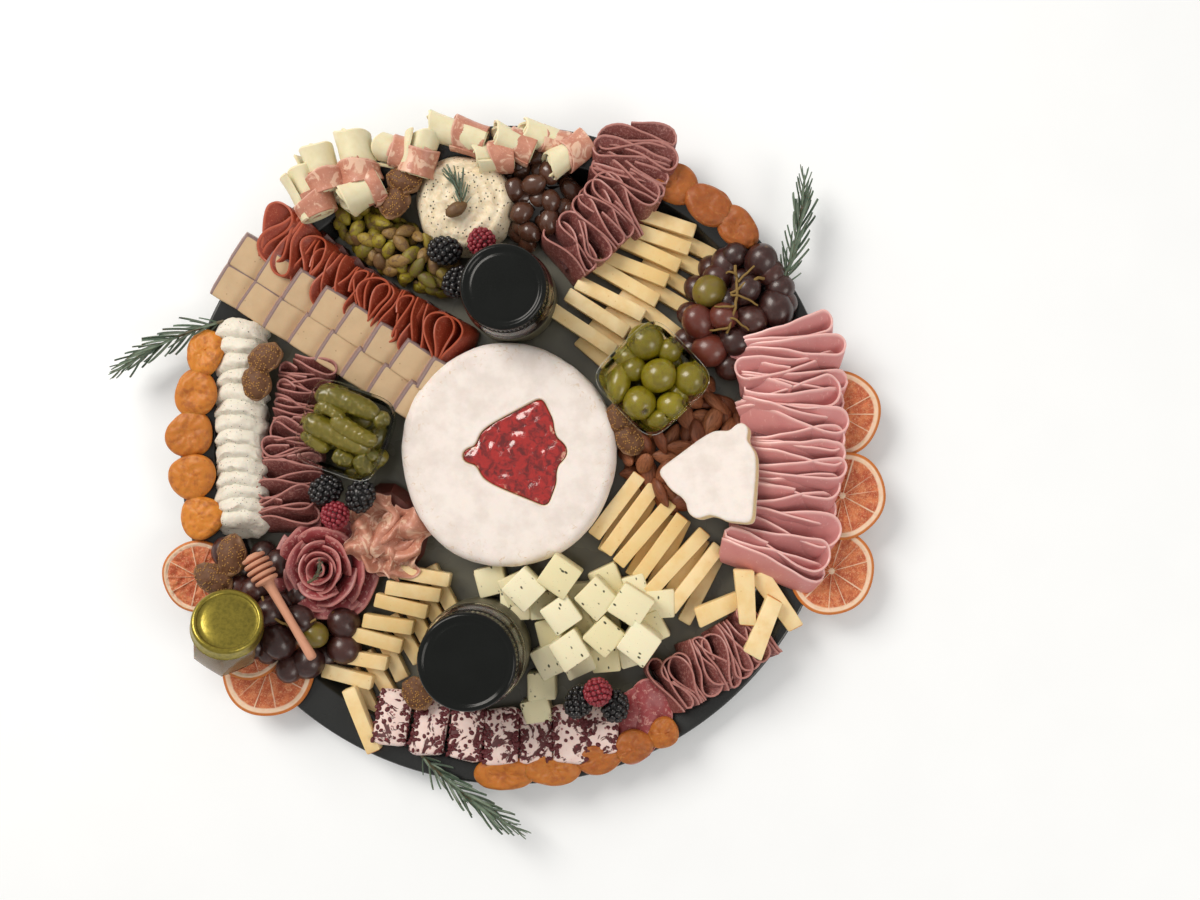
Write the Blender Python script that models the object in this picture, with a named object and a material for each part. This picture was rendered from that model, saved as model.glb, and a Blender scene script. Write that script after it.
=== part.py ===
"""A round catering tray filled as a grazing board: a whole brie with a bell cut out and filled with
jam, cheeses, folded meats, fruit, nuts, two cups, three small jars and a wooden honey dipper.

The origin is the centre of the tray's underside, +Z is up. Sizes below are written in millimetres
and turned into metres when a mesh is made. Every piece is a closed solid. Hard pieces keep their
shape, and softer ones are pressed in where they meet, with a small gap left between.
"""

import math

import bmesh
import bpy
from mathutils import Matrix, Vector
from mathutils.bvhtree import BVHTree

MM = 0.001
GAP = 0.45  # clearance left between two pieces that touch
TURN = 2 * math.pi
END_TILT = 55  # degrees up to which a lump is rounded before its small flat ends

# Tray, an 18 inch catering tray
TRAY_RADIUS = 228.5
TRAY_FLAT_RADIUS = 195.5
TRAY_SHOULDER_RADIUS = 206.0
TRAY_FLOOR = 2.2
TRAY_SHOULDER = 16.2
TRAY_HEIGHT = 19.0
TRAY_SIDES = 40
ON_FLOOR = TRAY_FLOOR + GAP + 0.3
ON_RIM = TRAY_HEIGHT + GAP + 0.3

# Brie
BRIE_HALF_X = 73.5
BRIE_HALF_Y = 77.0
BRIE_TOP = 35.0
BRIE_SIDES = 32
POCKET_FLOOR = 20.0
BELL_LENGTH = 72.0
BELL_HALF_WIDTH = 36.7
BELL_THICKNESS = 14.0
BELL_TILT = 18.0

# Cheese pieces
STICK = 9.8
CUBE = 19.0

# Cups
CUP_WALL = 1.2
CUP_TAPER = 6.0
OLIVE_CUP_PLACE = (98.8, 50.5)
OLIVE_CUP_HALF = 29.4
OLIVE_CUP_TURN = 44.0
OLIVE_CUP_TOP = 55.0
PICKLE_CUP_PLACE = (-107.0, 16.0)
PICKLE_CUP_HALF = 28.2
PICKLE_CUP_TURN = -19.6
PICKLE_CUP_TOP = 50.0

# Jars
PRESERVE_JAR_PLACE = (1.3, 109.0)
PRESERVE_LID_RADIUS = 29.0
PRESERVE_JAR_TOP = 70.0
PRESERVE_BODY_RADIUS = 31.0
SPREAD_JAR_PLACE = (-21.0, -134.0)
SPREAD_LID_RADIUS = 32.7
SPREAD_JAR_TOP = 80.0
SPREAD_BODY_RADIUS = 35.0
LID_HEIGHT = 15.0
HONEY_JAR_BASE = (-191.4, -130.3, 33.0)
HONEY_JAR_AXIS = (14.8, 22.8, 40.0)
HONEY_LID_RADIUS = 23.0
HONEY_JAR_HEIGHT = 48.0

HEAP_STEPS = ((0.93, 0.0), (1.0, 0.4), (0.8, 0.9), (0.38, 1.0))  # shares of a heap's width and height
ROW_SECTION = ((-0.92, 0), (-0.9, 1), (0, 0.94), (0.9, 1), (0.92, 0))  # shares of a row's width and height
LAPPED = TRAY_HEIGHT + 9.0  # underside of a row that laps over the fruit on the rim
RAISED = -1  # marks a section's point at that height
LAPPING_SECTION = ROW_SECTION[:4] + ((0.92, RAISED), (-0.06, RAISED), (-0.08, 0))
MADE_OF = {}  # each object's simple pieces by name, for fitting its neighbours

LOOKS = {
    "black_plastic": ((0.02, 0.02, 0.022), 0.35),
    "white_rind": ((0.86, 0.80, 0.76), 0.7),
    "jam": ((0.45, 0.05, 0.04), 0.15),
    "soft_cheese": ((0.80, 0.75, 0.62), 0.6),
    "yellow_cheese": ((0.80, 0.62, 0.32), 0.5),
    "jar": ((0.03, 0.03, 0.03), 0.15),
    "gold": ((0.55, 0.45, 0.08), 0.3),
    "wood": ((0.72, 0.45, 0.30), 0.6),
    "clear_cup": ((0.75, 0.77, 0.74), 0.1),
    "olive": ((0.30, 0.32, 0.05), 0.3),
    "nut_green": ((0.28, 0.26, 0.08), 0.6),
    "chocolate": ((0.06, 0.025, 0.015), 0.3),
    "almond": ((0.28, 0.12, 0.06), 0.6),
    "grape": ((0.05, 0.015, 0.02), 0.25),
    "salami": ((0.38, 0.15, 0.14), 0.5),
    "spicy_salami": ((0.45, 0.08, 0.03), 0.45),
    "ham": ((0.68, 0.33, 0.32), 0.5),
    "apricot": ((0.75, 0.28, 0.06), 0.4),
    "citrus": ((0.70, 0.30, 0.10), 0.5),
    "dark_berry": ((0.012, 0.01, 0.02), 0.3),
    "red_berry": ((0.35, 0.02, 0.04), 0.4),
    "fig": ((0.24, 0.13, 0.06), 0.7),
    "herb": ((0.05, 0.09, 0.05), 0.6),
}


# Basic shapes, all as a list of rings that a skin joins -------------------------------------------


def circle(radius, z, sides):
    """Points of a level circle."""
    turns = [TURN * i / sides for i in range(sides)]
    return [Vector((radius * math.cos(a), radius * math.sin(a), z)) for a in turns]


def lathe(profile, sides):
    """Rings of a turned shape from (radius, height) pairs, the first and last closed flat."""
    return [circle(radius, z, sides) for radius, z in profile]


def prism(outline, levels):
    """Rings of an outline standing up, from (inset, height) pairs."""
    middle = sum(outline, Vector((0, 0))) / len(outline)
    rings = []
    for inset, z in levels:
        ring = []
        for point in outline:
            out = point - middle
            flat = middle + out * (1 - inset / max(out.length, 1))
            ring.append(Vector((flat.x, flat.y, z)))
        rings.append(ring)
    return rings


def ellipsoid(place, half_sizes, yaw=0.0, sides=8, bands=3):
    """Rings of a rounded lump with small flat ends."""
    rings = []
    for i in range(bands):
        tilt = math.radians(-END_TILT + 2 * END_TILT * i / (bands - 1))
        rings.append(circle(math.cos(tilt), math.sin(tilt) / math.sin(math.radians(END_TILT)), sides))
    size = Matrix.Diagonal((*half_sizes, 1.0))
    move = Matrix.Translation(place) @ Matrix.Rotation(math.radians(yaw), 4, "Z") @ size
    return [[move @ point for point in ring] for ring in rings]


def moved(rings, place, yaw=0.0, pitch=0.0, roll=0.0):
    """Rings turned about X, then Y, then Z, in degrees, and moved."""
    turn = Matrix.Rotation(math.radians(yaw), 4, "Z")
    turn @= Matrix.Rotation(math.radians(pitch), 4, "Y")
    turn @= Matrix.Rotation(math.radians(roll), 4, "X")
    move = Matrix.Translation(place) @ turn
    return [[move @ point for point in ring] for ring in rings]


def block(size, place, yaw=0.0, pitch=0.0, roll=0.0):
    """Rings of a box, its long side along X."""
    x, y, z = (side / 2 for side in size)
    ends = [[Vector((end, a * y, b * z)) for a, b in ((-1, -1), (1, -1), (1, 1), (-1, 1))] for end in (-x, x)]
    return moved(ends, place, yaw, pitch, roll)


def along(start, end, radii, sides):
    """Rings of a round bar from start to end; radii holds (share of the length, radius)."""
    axis = Vector(end) - Vector(start)
    turn = axis.to_track_quat("Z", "Y").to_matrix().to_4x4()
    move = Matrix.Translation(start) @ turn
    return [[move @ point for point in circle(r, share * axis.length, sides)] for share, r in radii]


def floor_under(x, y):
    """Height that food rests at: the tray's floor, or its rim further out."""
    share = (math.hypot(x, y) - TRAY_FLAT_RADIUS + 4) / 13
    return ON_FLOOR + (ON_RIM - ON_FLOOR) * min(max(share, 0), 1)


def heap(place, half_x, half_y, height, yaw=0.0, sides=16, lumps=7, lump=1.6):
    """Rings of a low heap: a wobbly oval that rises in steps to a lumpy top."""
    cx, cy = place
    turn = math.radians(yaw)
    rings = []
    for level, (share, rise) in enumerate(HEAP_STEPS):
        ring = []
        for i in range(sides):
            a = TURN * i / sides
            wobble = 1 + 0.035 * math.sin(lumps * a + level)
            x = half_x * share * wobble * math.cos(a)
            y = half_y * share * wobble * math.sin(a)
            px = cx + x * math.cos(turn) - y * math.sin(turn)
            py = cy + x * math.sin(turn) + y * math.cos(turn)
            low = floor_under(px, py)
            bump = lump * math.sin(lumps * a + 2 * level) if rise else 0
            ring.append(Vector((px, py, low + (height - low) * rise + bump)))
        rings.append(ring)
    return rings


def bend(start, middle, end):
    """A curve through three points, as a function of the share of its length."""
    start, middle, end = Vector(start), Vector(middle), Vector(end)
    pull = 2 * middle - (start + end) / 2

    def point(t):
        return start * (1 - t) ** 2 + pull * 2 * t * (1 - t) + end * t**2

    return point


def ruffle(path, half_width, folds, crest, dip=6.0, section=ROW_SECTION):
    """Rings of a row of folded slices: crests and dips across the row, looped at both sides."""
    rings = []
    stations = 2 * folds + 1
    for i in range(stations):
        t = i / (stations - 1)
        ahead = (path(min(t + 0.01, 1)) - path(max(t - 0.01, 0))).normalized()
        across = Vector((-ahead.y, ahead.x))
        is_crest = i % 2 == 0
        wide = half_width * (1.0 if is_crest else 0.88) * (1 + 0.05 * math.sin(2.3 * i))
        top = crest - (0 if is_crest else dip) - 5 * (2 * t - 1) ** 8
        ring = []
        for side, rise in section:
            spot = path(t) + across * wide * side
            low = LAPPED if rise == RAISED else floor_under(*spot)
            share = 0 if rise == RAISED else rise
            ring.append(Vector((spot.x, spot.y, low + (top - low) * share)))
        rings.append(ring)
    return rings


# Making, joining and fitting objects --------------------------------------------------------------


def finish(name, look):
    """A material of the piece's own."""
    colour, roughness = LOOKS[look]
    material = bpy.data.materials.new(name)
    material.use_nodes = True
    shader = material.node_tree.nodes["Principled BSDF"]
    shader.inputs["Base Color"].default_value = (*colour, 1)
    shader.inputs["Roughness"].default_value = roughness
    shader.inputs["Metallic"].default_value = 1.0 if look == "gold" else 0.0
    return material


def skin(name, rings):
    """An object whose rings are joined side by side, with both ends closed."""
    count = len(rings[0])
    points = [point * MM for ring in rings for point in ring]
    faces = [list(range(count)), [len(points) - 1 - i for i in range(count)]]
    for level in range(len(rings) - 1):
        for i in range(count):
            a, b = level * count + i, level * count + (i + 1) % count
            faces.append([a, b, b + count, a + count])
    mesh = bpy.data.meshes.new(name)
    mesh.from_pydata(points, [], faces)
    shape = bpy.data.objects.new(name, mesh)
    bpy.context.collection.objects.link(shape)
    cleaned(shape)
    MADE_OF[name] = [rings]
    return shape


def cleaned(shape):
    """Triangles only, no slivers, faces out, and only the largest closed body kept."""
    work = bmesh.new()
    work.from_mesh(shape.data)
    bmesh.ops.remove_doubles(work, verts=work.verts[:], dist=0.02 * MM)
    bmesh.ops.dissolve_degenerate(work, dist=0.01 * MM, edges=work.edges[:])
    flat = math.radians(0.3)
    bmesh.ops.dissolve_limit(work, angle_limit=flat, verts=work.verts[:], edges=work.edges[:])
    bmesh.ops.triangulate(work, faces=work.faces[:])
    bodies = []
    left = set(work.verts)
    while left:
        body = {left.pop()}
        edge = list(body)
        while edge:
            found = [e.other_vert(v) for v in edge for e in v.link_edges]
            edge = list({v for v in found if v in left})
            left.difference_update(edge)
            body.update(edge)
        bodies.append(body)
    largest = max(bodies, key=len)
    bmesh.ops.delete(work, geom=[v for v in work.verts if v not in largest], context="VERTS")
    bmesh.ops.recalc_face_normals(work, faces=work.faces[:])
    work.to_mesh(shape.data)
    work.free()


def combined(shape, tool, operation):
    """Shape after a Boolean with the tool, which is then removed."""
    step = shape.modifiers.new("step", "BOOLEAN")
    step.operation = operation
    step.object = tool
    bpy.context.view_layer.update()
    seen = shape.evaluated_get(bpy.context.evaluated_depsgraph_get())
    mesh = bpy.data.meshes.new_from_object(seen)
    shape.modifiers.clear()
    shape.data = mesh
    bpy.data.objects.remove(tool)
    cleaned(shape)


def joined(name, pieces):
    """One object from touching pieces."""
    whole = skin(name, pieces[0])
    for piece in pieces[1:]:
        combined(whole, skin("piece", piece), "UNION")
    MADE_OF[name] = pieces
    return whole


def tree_of(shape):
    """The shape's tree for finding crossings."""
    work = bmesh.new()
    work.from_mesh(shape.data)
    tree = BVHTree.FromBMesh(work)
    work.free()
    return tree


def grow(shape, distance):
    """Moves every face of a simple shape outwards by a distance."""
    work = bmesh.new()
    work.from_mesh(shape.data)
    work.normal_update()
    offsets = [v.normal * min(v.calc_shell_factor(), 2.0) * distance * MM for v in work.verts]
    for v, offset in zip(work.verts, offsets):
        v.co += offset
    work.to_mesh(shape.data)
    work.free()


def press_in(soft, hard):
    """Where pieces of the hard object sit in the soft one, the soft one gives way by the gap."""
    for rings in MADE_OF[hard.name]:
        tool = skin("tool", rings)
        grow(tool, GAP)
        if tree_of(soft).overlap(tree_of(tool)):
            combined(soft, tool, "DIFFERENCE")
        else:
            bpy.data.objects.remove(tool)


# The pieces ---------------------------------------------------------------------------------------


def tray():
    profile = (
        (TRAY_FLAT_RADIUS + 1.5, 0),
        (TRAY_SHOULDER_RADIUS + 1.2, TRAY_SHOULDER - 2.2),
        (TRAY_RADIUS, TRAY_HEIGHT - 5.0),
        (TRAY_RADIUS, TRAY_HEIGHT - 1.2),
        (TRAY_RADIUS - 2.0, TRAY_HEIGHT),
        (TRAY_SHOULDER_RADIUS, TRAY_SHOULDER),
        (TRAY_FLAT_RADIUS, TRAY_FLOOR),
    )
    return skin("tray", lathe(profile, TRAY_SIDES))


def bell_outline():
    """The bell cutter's outline, its knob tip at the origin and its clapper towards +X."""
    half = []
    knob = 5.6
    for degrees in (180, 130, 80):
        a = math.radians(degrees)
        half.append((knob + knob * math.cos(a), knob * math.sin(a)))
    neck = 7.0
    flank = 4
    for i in range(flank + 1):
        t = i / flank
        wide = neck + (BELL_HALF_WIDTH - neck) * (math.sqrt(t) - 0.06 * math.sin(math.pi * t))
        half.append((9.5 + 45 * t, wide))
    half.append((58.0, BELL_HALF_WIDTH - 2.5))
    half.append((63.5, 21.0))
    clapper = 8.6
    centre = BELL_LENGTH - clapper
    for degrees in (70, 35, 0):
        a = math.radians(degrees)
        half.append((centre + clapper * math.cos(a), clapper * math.sin(a)))
    mirrored = [(u, -v) for u, v in reversed(half[1:-1])]
    return [Vector(point) for point in half + mirrored]


def brie():
    """The wheel, bulging a little at its side, with the bell pocket cut in and jam filling it."""
    outline = []
    for i in range(BRIE_SIDES):
        a = TURN * i / BRIE_SIDES
        wobble = 1 + 0.008 * math.sin(3 * a + 1) + 0.006 * math.sin(5 * a)
        outline.append(Vector((BRIE_HALF_X * wobble * math.cos(a), BRIE_HALF_Y * wobble * math.sin(a))))
    levels = ((1.5, ON_FLOOR), (0, BRIE_TOP - 5), (3.5, BRIE_TOP))
    wheel = skin("brie_wheel", prism(outline, levels))
    pocket_place = (-31.0, -1.0, 0.0)
    pocket_turn = 2.8
    pocket = prism(bell_outline(), ((0, POCKET_FLOOR), (0, BRIE_TOP + 5)))
    combined(wheel, skin("pocket", moved(pocket, pocket_place, pocket_turn)), "DIFFERENCE")
    fill = prism(bell_outline(), ((GAP, POCKET_FLOOR + GAP), (GAP, BRIE_TOP - 1.0)))
    jam = skin("fruit_jam", moved(fill, pocket_place, pocket_turn))
    return wheel, jam


def bell():
    """The bell cut from the wheel, resting on the nuts with its outer side raised on the ham."""
    half = BELL_THICKNESS / 2
    shape = prism(bell_outline(), ((0, -half), (0, half)))
    centred = moved(shape, (-BELL_LENGTH / 2, 0, 0))
    return skin("brie_bell", moved(centred, (144.5, -11.4, 41.5), yaw=-119.0, roll=BELL_TILT))


def jar(name, place, lid_radius, top, body_radius):
    """A small jar: straight glass body, rounded shoulder and a deep screw lid."""
    profile = (
        (body_radius - 2, ON_FLOOR),
        (body_radius, ON_FLOOR + 3),
        (body_radius, top - LID_HEIGHT - 9),
        (lid_radius, top - LID_HEIGHT),
        (lid_radius, top - 1.5),
        (lid_radius - 1.5, top),
    )
    return skin(name, moved(lathe(profile, 18), (*place, 0)))


def honey_jar():
    """A little six-sided jar with a round lid, leaning with its foot over the tray's edge."""
    body_radius = 22.5
    lid_height = 13.0
    shoulder = HONEY_JAR_HEIGHT - lid_height - 4
    levels = ((body_radius, 0, 6), (body_radius, shoulder, 6), (HONEY_LID_RADIUS - 3, shoulder + 4, 0))
    levels += ((HONEY_LID_RADIUS, shoulder + 4.4, 0), (HONEY_LID_RADIUS, HONEY_JAR_HEIGHT, 0))
    sides = 18
    rings = []
    for radius, z, corners in levels:
        ring = []
        for i in range(sides):
            a = TURN * i / sides
            reach = radius
            if corners:
                step = TURN / corners
                reach = radius * math.cos(step / 2) / math.cos((a % step) - step / 2)
            ring.append(Vector((reach * math.cos(a), reach * math.sin(a), z)))
        rings.append(ring)
    turn = Vector(HONEY_JAR_AXIS).to_track_quat("Z", "Y").to_matrix().to_4x4()
    move = Matrix.Translation(HONEY_JAR_BASE) @ turn
    return skin("honey_jar", [[move @ point for point in ring] for ring in rings])


def honey_dipper():
    """A turned stick whose head has five grooved discs."""
    head_tip = (-170.0, -67.0, 46.0)
    handle_end = (-128.0, -137.0, 48.0)
    length = 81.6
    radii = []
    discs = 5
    pitch = 4.3
    for i in range(discs):
        edge = 8.0 + 1.2 * math.sin(math.pi * (i + 0.5) / discs)
        radii += [((i * pitch + 1.2) / length, edge), ((i * pitch + 3.2) / length, 6.0)]
    radii += [(discs * pitch / length, 3.2), (0.7, 2.8), (1.0, 3.3)]
    return skin("honey_dipper", along(head_tip, handle_end, radii, 8))


def cup_outline(half):
    """A square with rounded corners."""
    corner = 9.0
    points = []
    for quarter in range(4):
        for step in range(3):
            a = math.radians(90 * quarter + 45 * step)
            sx, sy = ((1, 1), (-1, 1), (-1, -1), (1, -1))[quarter]
            x = sx * (half - corner) + corner * math.cos(a)
            y = sy * (half - corner) + corner * math.sin(a)
            points.append(Vector((x, y)))
    return points


def cup(name, place, half, top, turn):
    """A thin clear cup, a little narrower at its foot."""
    foot = CUP_TAPER + CUP_WALL
    levels = ((CUP_TAPER, ON_FLOOR), (0, top), (CUP_WALL, top), (foot, ON_FLOOR + CUP_WALL))
    return skin(name, moved(prism(cup_outline(half), levels), (*place, 0), turn))


def cup_fill(name, place, half, top, turn, edge, crown, slope):
    """A lumpy heap in a cup, from its floor up to a crown, sloping down towards one corner."""
    outline = cup_outline(half)
    foot = ON_FLOOR + CUP_WALL + 0.6
    rings = []
    for share, height in ((1, foot), (1, edge), (0.6, crown - 1.5), (0.25, crown)):
        ring = []
        for i, point in enumerate(outline):
            z = height
            if height != foot:
                z += 1.4 * math.sin(5.0 * i + height) - slope * max(-(point.x + point.y) * share / half, 0)
            inset = CUP_WALL + CUP_TAPER * (top - z) / (top - ON_FLOOR) + 1.0
            flat = point * (1 - inset / point.length) * share
            ring.append(Vector((flat.x, flat.y, z)))
        rings.append(ring)
    return skin(name, moved(rings, (*place, 0), turn))


def dome():
    """A soft cheese ball smoothed with a knife that left one swirl."""
    rings = []
    radius = 34.0
    sides = 16
    for share, z in ((0.9, ON_FLOOR), (1.0, 14), (0.93, 28), (0.68, 35), (0.2, 36)):
        ring = []
        for i in range(sides):
            a = TURN * i / sides
            swirl = 1 + 0.02 * math.sin(3 * a + z)
            lift = 1.4 * math.sin(a + 7 * share) if share < 0.9 else 0
            reach = radius * share * swirl
            ring.append(Vector((reach * math.cos(a), reach * math.sin(a), z + lift)))
        rings.append(ring)
    return skin("herb_cheese", moved(rings, (-31, 173, 0)))


def stick_pile(name, path, count, length, turn_upper, turn_lower, offset_upper, offset_lower, last=()):
    """Two crossed layers of sticks along a path: the upper ones lie over the gaps of the lower.
    last holds rings of sticks that lie beyond the end of the path."""
    pieces = []
    bite = 0.5
    low = ON_FLOOR + STICK / 2
    for i in range(count):
        t = i / count
        swing = 3 * math.sin(2.7 * i)
        for share, turn, offset, z in (
            (t, turn_upper, offset_upper, low + STICK - bite),
            (t + 0.5 / count, turn_lower, offset_lower, low),
        ):
            if share > 1.02:
                continue
            yaw = turn[0] + (turn[1] - turn[0]) * share + swing
            along_stick = Vector((math.cos(math.radians(yaw)), math.sin(math.radians(yaw))))
            spot = path(share) + along_stick * offset
            spread = length * (1 + 0.05 * math.sin(4.1 * i + z))
            pieces.append(block((spread, STICK, STICK), (spot.x, spot.y, z + 0.1 * math.sin(i)), yaw))
    return joined(name, pieces + list(last))


def cheese_sticks():
    upper_right = bend((118, 158), (91, 113), (50, 68))
    top = stick_pile("cheese_sticks_top", upper_right, 8, 52, (-18, -36), (-26, -42), -14, 13)
    lower_right = bend((74, -35), (104, -64), (141, -96))
    right = stick_pile("cheese_sticks_right", lower_right, 6, 56, (53, 49), (64, 60), 0, -2)
    lower_left = bend((-46, -86), (-76, -125), (-110, -170))
    over_the_rim = block((47, STICK, STICK), (-101, -182, ON_RIM + STICK / 2), -68)
    left = stick_pile(
        "cheese_sticks_left", lower_left, 7, 37, (-10, -14), (-62, -62), -13, 4, [over_the_rim]
    )
    return top, right, left


def cheese_wedges():
    """Four thicker sticks that lie loose at the end of the right-hand pile."""
    z = ON_RIM + STICK / 2
    width = 14
    places = (
        (145, -105, 24, 35, 0), (162, -97, -86, 38, 8.0), (184, -100, -55, 46, 0), (174, -117, 68, 42, 8.5),
    )
    pieces = [block((length, width, STICK), (x, y, z + lift), yaw) for x, y, yaw, length, lift in places]
    return joined("cheese_wedges", pieces)


def cheese_cubes():
    """Cubes tumbled two and three deep between the jar, the brie and the berries."""
    low = ON_FLOOR + CUBE / 2
    lower = ((-13, -87), (5, -92), (23, -104), (29, -123), (28, -142), (22, -160), (19, -178))
    lower += ((47, -142), (66, -140), (85, -136), (97, -120), (104, -103), (86, -93), (67, -88), (49, -99))
    upper = ((16, -88), (34, -84), (40, -108), (60, -100), (80, -104), (46, -126), (66, -123), (88, -122))
    pieces = []
    for level, places in enumerate((lower, upper)):
        for i, (x, y) in enumerate(places):
            yaw = 12 * math.sin(2.1 * i) + 15 + 30 * level
            lean = 3 * math.sin(3.3 * i) * level
            size = CUBE * (1 + 0.05 * math.sin(2 * i))
            pieces.append(block((size, size, size), (x, y, low + level * (CUBE - 1)), yaw, lean))
    return joined("herb_cheese_cubes", pieces)


def cranberry_slabs():
    """Seven slabs side by side, each leaning on the next and up the tray's edge."""
    arc = bend((-80, -181), (-5, -194), (68, -191))
    slab = (38, 25.6, 9)
    lean = 20
    pieces = []
    count = 7
    for i in range(count):
        spot = arc(i / (count - 1))
        yaw = 84 + 12 * i / count
        pieces.append(block(slab, (spot.x, spot.y, 21.5 + 1.5 * (i % 2)), yaw, pitch=lean))
    return joined("cranberry_cheese", pieces)


def rind_slabs():
    """Two rows of slices cut from a block with a washed rind, each slice lapping the next."""
    slab = (26, 25, 13)
    rows = (((-176, 136), (-48, 52)), ((-189, 116), (-64, 36)))
    pieces = []
    count = 8
    for row, (start, end) in enumerate(rows):
        for i in range(count):
            spot = Vector(start).lerp(Vector(end), i / (count - 1))
            pieces.append(block(slab, (spot.x, spot.y, 23 - 2 * row), yaw=-33, pitch=24, roll=4))
    return joined("rind_cheese", pieces)


def goat_rounds():
    """Soft goat cheese in a row of lapping rounds."""
    return skin("goat_cheese", ruffle(bend((-185, 86), (-186, 12), (-184, -52)), 17.5, 8, 31, dip=3))


def meats():
    """Rows of folded slices, each one solid with crests and dips."""
    return (
        skin("salami_top", ruffle(bend((86, 216), (66, 168), (24, 134)), 22, 8, 40)),
        skin("spicy_salami", ruffle(bend((-160, 160), (-98, 110), (-22, 70)), 22, 9, 32)),
        skin("salami_left", ruffle(bend((-130, 78), (-148, 8), (-150, -56)), 18, 9, 30)),
        skin("ham_folds", ruffle(bend((190, 92), (194, 4), (178, -90)), 40, 9, 43, section=LAPPING_SECTION)),
        skin("salami_bottom", ruffle(bend((168, -122), (132, -146), (98, -166)), 18, 7, 34)),
    )


def flat_slice():
    """A marbled slice folded in four, draped over the tray's edge."""
    outline = [Vector((-14, -27)), Vector((14, -25)), Vector((17, 0)), Vector((12, 26)), Vector((-15, 24))]
    shape = prism(outline, ((0, ON_RIM), (0, ON_RIM + 4), (3, ON_RIM + 6)))
    return skin("salami_flat", moved(shape, (90, -184, 0), yaw=-12))


def rose():
    """Slices wrapped round and round into a rose: petals step inwards along a spiral."""
    rings = []
    sides = 16
    levels = ((0.84, 0, 0), (1.0, 0.8, 0), (0.76, 1.0, 1), (0.56, 0.84, 1), (0.34, 1.06, 1), (0.14, 0.86, 1))
    for share, rise, spiral in levels:
        ring = []
        for i in range(sides):
            a = TURN * i / sides
            reach = share * (1 + 0.05 * math.sin(4 * a + 6 * share)) * (1 - 0.06 * spiral * i / sides)
            x, y = 34 * reach * math.cos(a), 37.5 * reach * math.sin(a)
            ring.append(Vector((x, y, ON_FLOOR + (44 - ON_FLOOR) * rise)))
        rings.append(ring)
    return skin("salami_rose", moved(rings, (-128, -78, 0)))


def cured_ham():
    """A crumpled thin slice, gathered into soft folds."""
    return skin("cured_ham", heap((-86, -52), 33, 38, 29, yaw=12, lumps=5, lump=3.0))


def heaps():
    """Nuts and grapes poured into the spaces that the larger pieces leave."""
    return (
        skin("pistachios", heap((-77, 143), 50, 18, 29, yaw=-33, lumps=9)),
        skin("chocolate_almonds", heap((21, 178), 25, 32, 30, lumps=6)),
        skin("almonds", heap((120, 8), 44, 46, 27, yaw=20, lumps=9)),
        skin("grapes_right", heap((156, 101), 33, 42, 38, yaw=-35, lumps=6, lump=3)),
        skin("grapes_left", heap((-156, -108), 46, 38, 36, yaw=-50, lumps=6, lump=3)),
    )


def apricots():
    """Dried halves, plump discs that lie on the tray's rim and lap each other."""
    rows = {
        "apricots_top": ((114, 186, 17, 14), (137, 171, 17, 14), (157, 156, 16, 13)),
        "apricots_left": (
            (-208, 70, 16, 13), (-214, 42, 16, 15), (-219, 14, 16, 16), (-217, -15, 16, 16), (-211, -43, 16, 14),
        ),
        "apricots_bottom": (
            (-3, -218, 20, 13), (31, -215, 19, 12), (62, -208, 17, 11), (86, -200, 14, 11), (106, -191, 12, 10),
        ),
    }
    made = []
    for name, places in rows.items():
        pieces = []
        for i, (x, y, half_x, half_y) in enumerate(places):
            z = ON_RIM + 6.4 + 1.2 * (i % 2)
            facing = math.degrees(math.atan2(y, x)) + 90
            pieces.append(ellipsoid((x, y, z), (half_x, half_y, 6), facing))
        made.append(joined(name, pieces))
    return tuple(made)


def citrus():
    """Dried slices that lap each other and hang over the rim."""
    rows = {
        "citrus_right": ((226, 28, 30), (229, -28, 30), (222, -80, 30)),
        "citrus_left": ((-214, -84, 25),),
        "citrus_bottom": ((-166, -148, 32), (-178, -127, 27)),
    }
    thickness = 4.0
    made = []
    for name, places in rows.items():
        pieces = []
        for i, (x, y, radius) in enumerate(places):
            disc = lathe(((radius, 0), (radius - 0.5, thickness)), 16)
            pieces.append(moved(disc, (x, y, ON_RIM + 3.2 * (i % 2)), yaw=11 * i))
        made.append(joined(name, pieces))
    return tuple(made)


def berries():
    """Three groups of two dark berries and a red one, each berry on its own."""
    made = []
    groups = (
        ((-42, 138, 38), (-33, 117, 37), (-17, 144, 38)),
        ((-123, -24, 36), (-99, -28, 37), (-116, -41, 38)),
        ((49, -167, 38), (73, -170, 37), (62, -159, 47)),
    )
    for group, places in enumerate(groups):
        for i, place in enumerate(places):
            red = i == 2
            kind = "red_berry" if red else "dark_berry"
            half_sizes = (9.2, 9.2, 8.5) if red else (9.0, 11.0, 8.5)
            rings = ellipsoid(place, half_sizes, yaw=40 * i + 30 * group)
            made.append(skin(f"{kind}_{group + 1}{'' if red else 'ab'[i]}", rings))
    return tuple(made)


def figs():
    """Dried figs, torn open, singly or in touching pairs."""
    rows = {
        "figs_top": ((-70, 187, 34), (-77, 172, 33)),
        "figs_left": ((-165, 66, 33), (-171, 49, 32)),
        "figs_centre": ((76, 26, 30), (83, 11, 29)),
        "figs_lower": ((-186, -68, 38), (-199, -84, 37)),
        "figs_bottom": ((-62, -163, 30),),
    }
    made = []
    for name, places in rows.items():
        pieces = []
        flattened = name == "figs_lower"
        half_sizes = (14, 9.5, 7) if flattened else (12, 9.5, 8)
        for place in places:
            pieces.append(ellipsoid(place, half_sizes, yaw=45 if flattened else 60))
        made.append(joined(name, pieces))
    return tuple(made)


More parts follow.
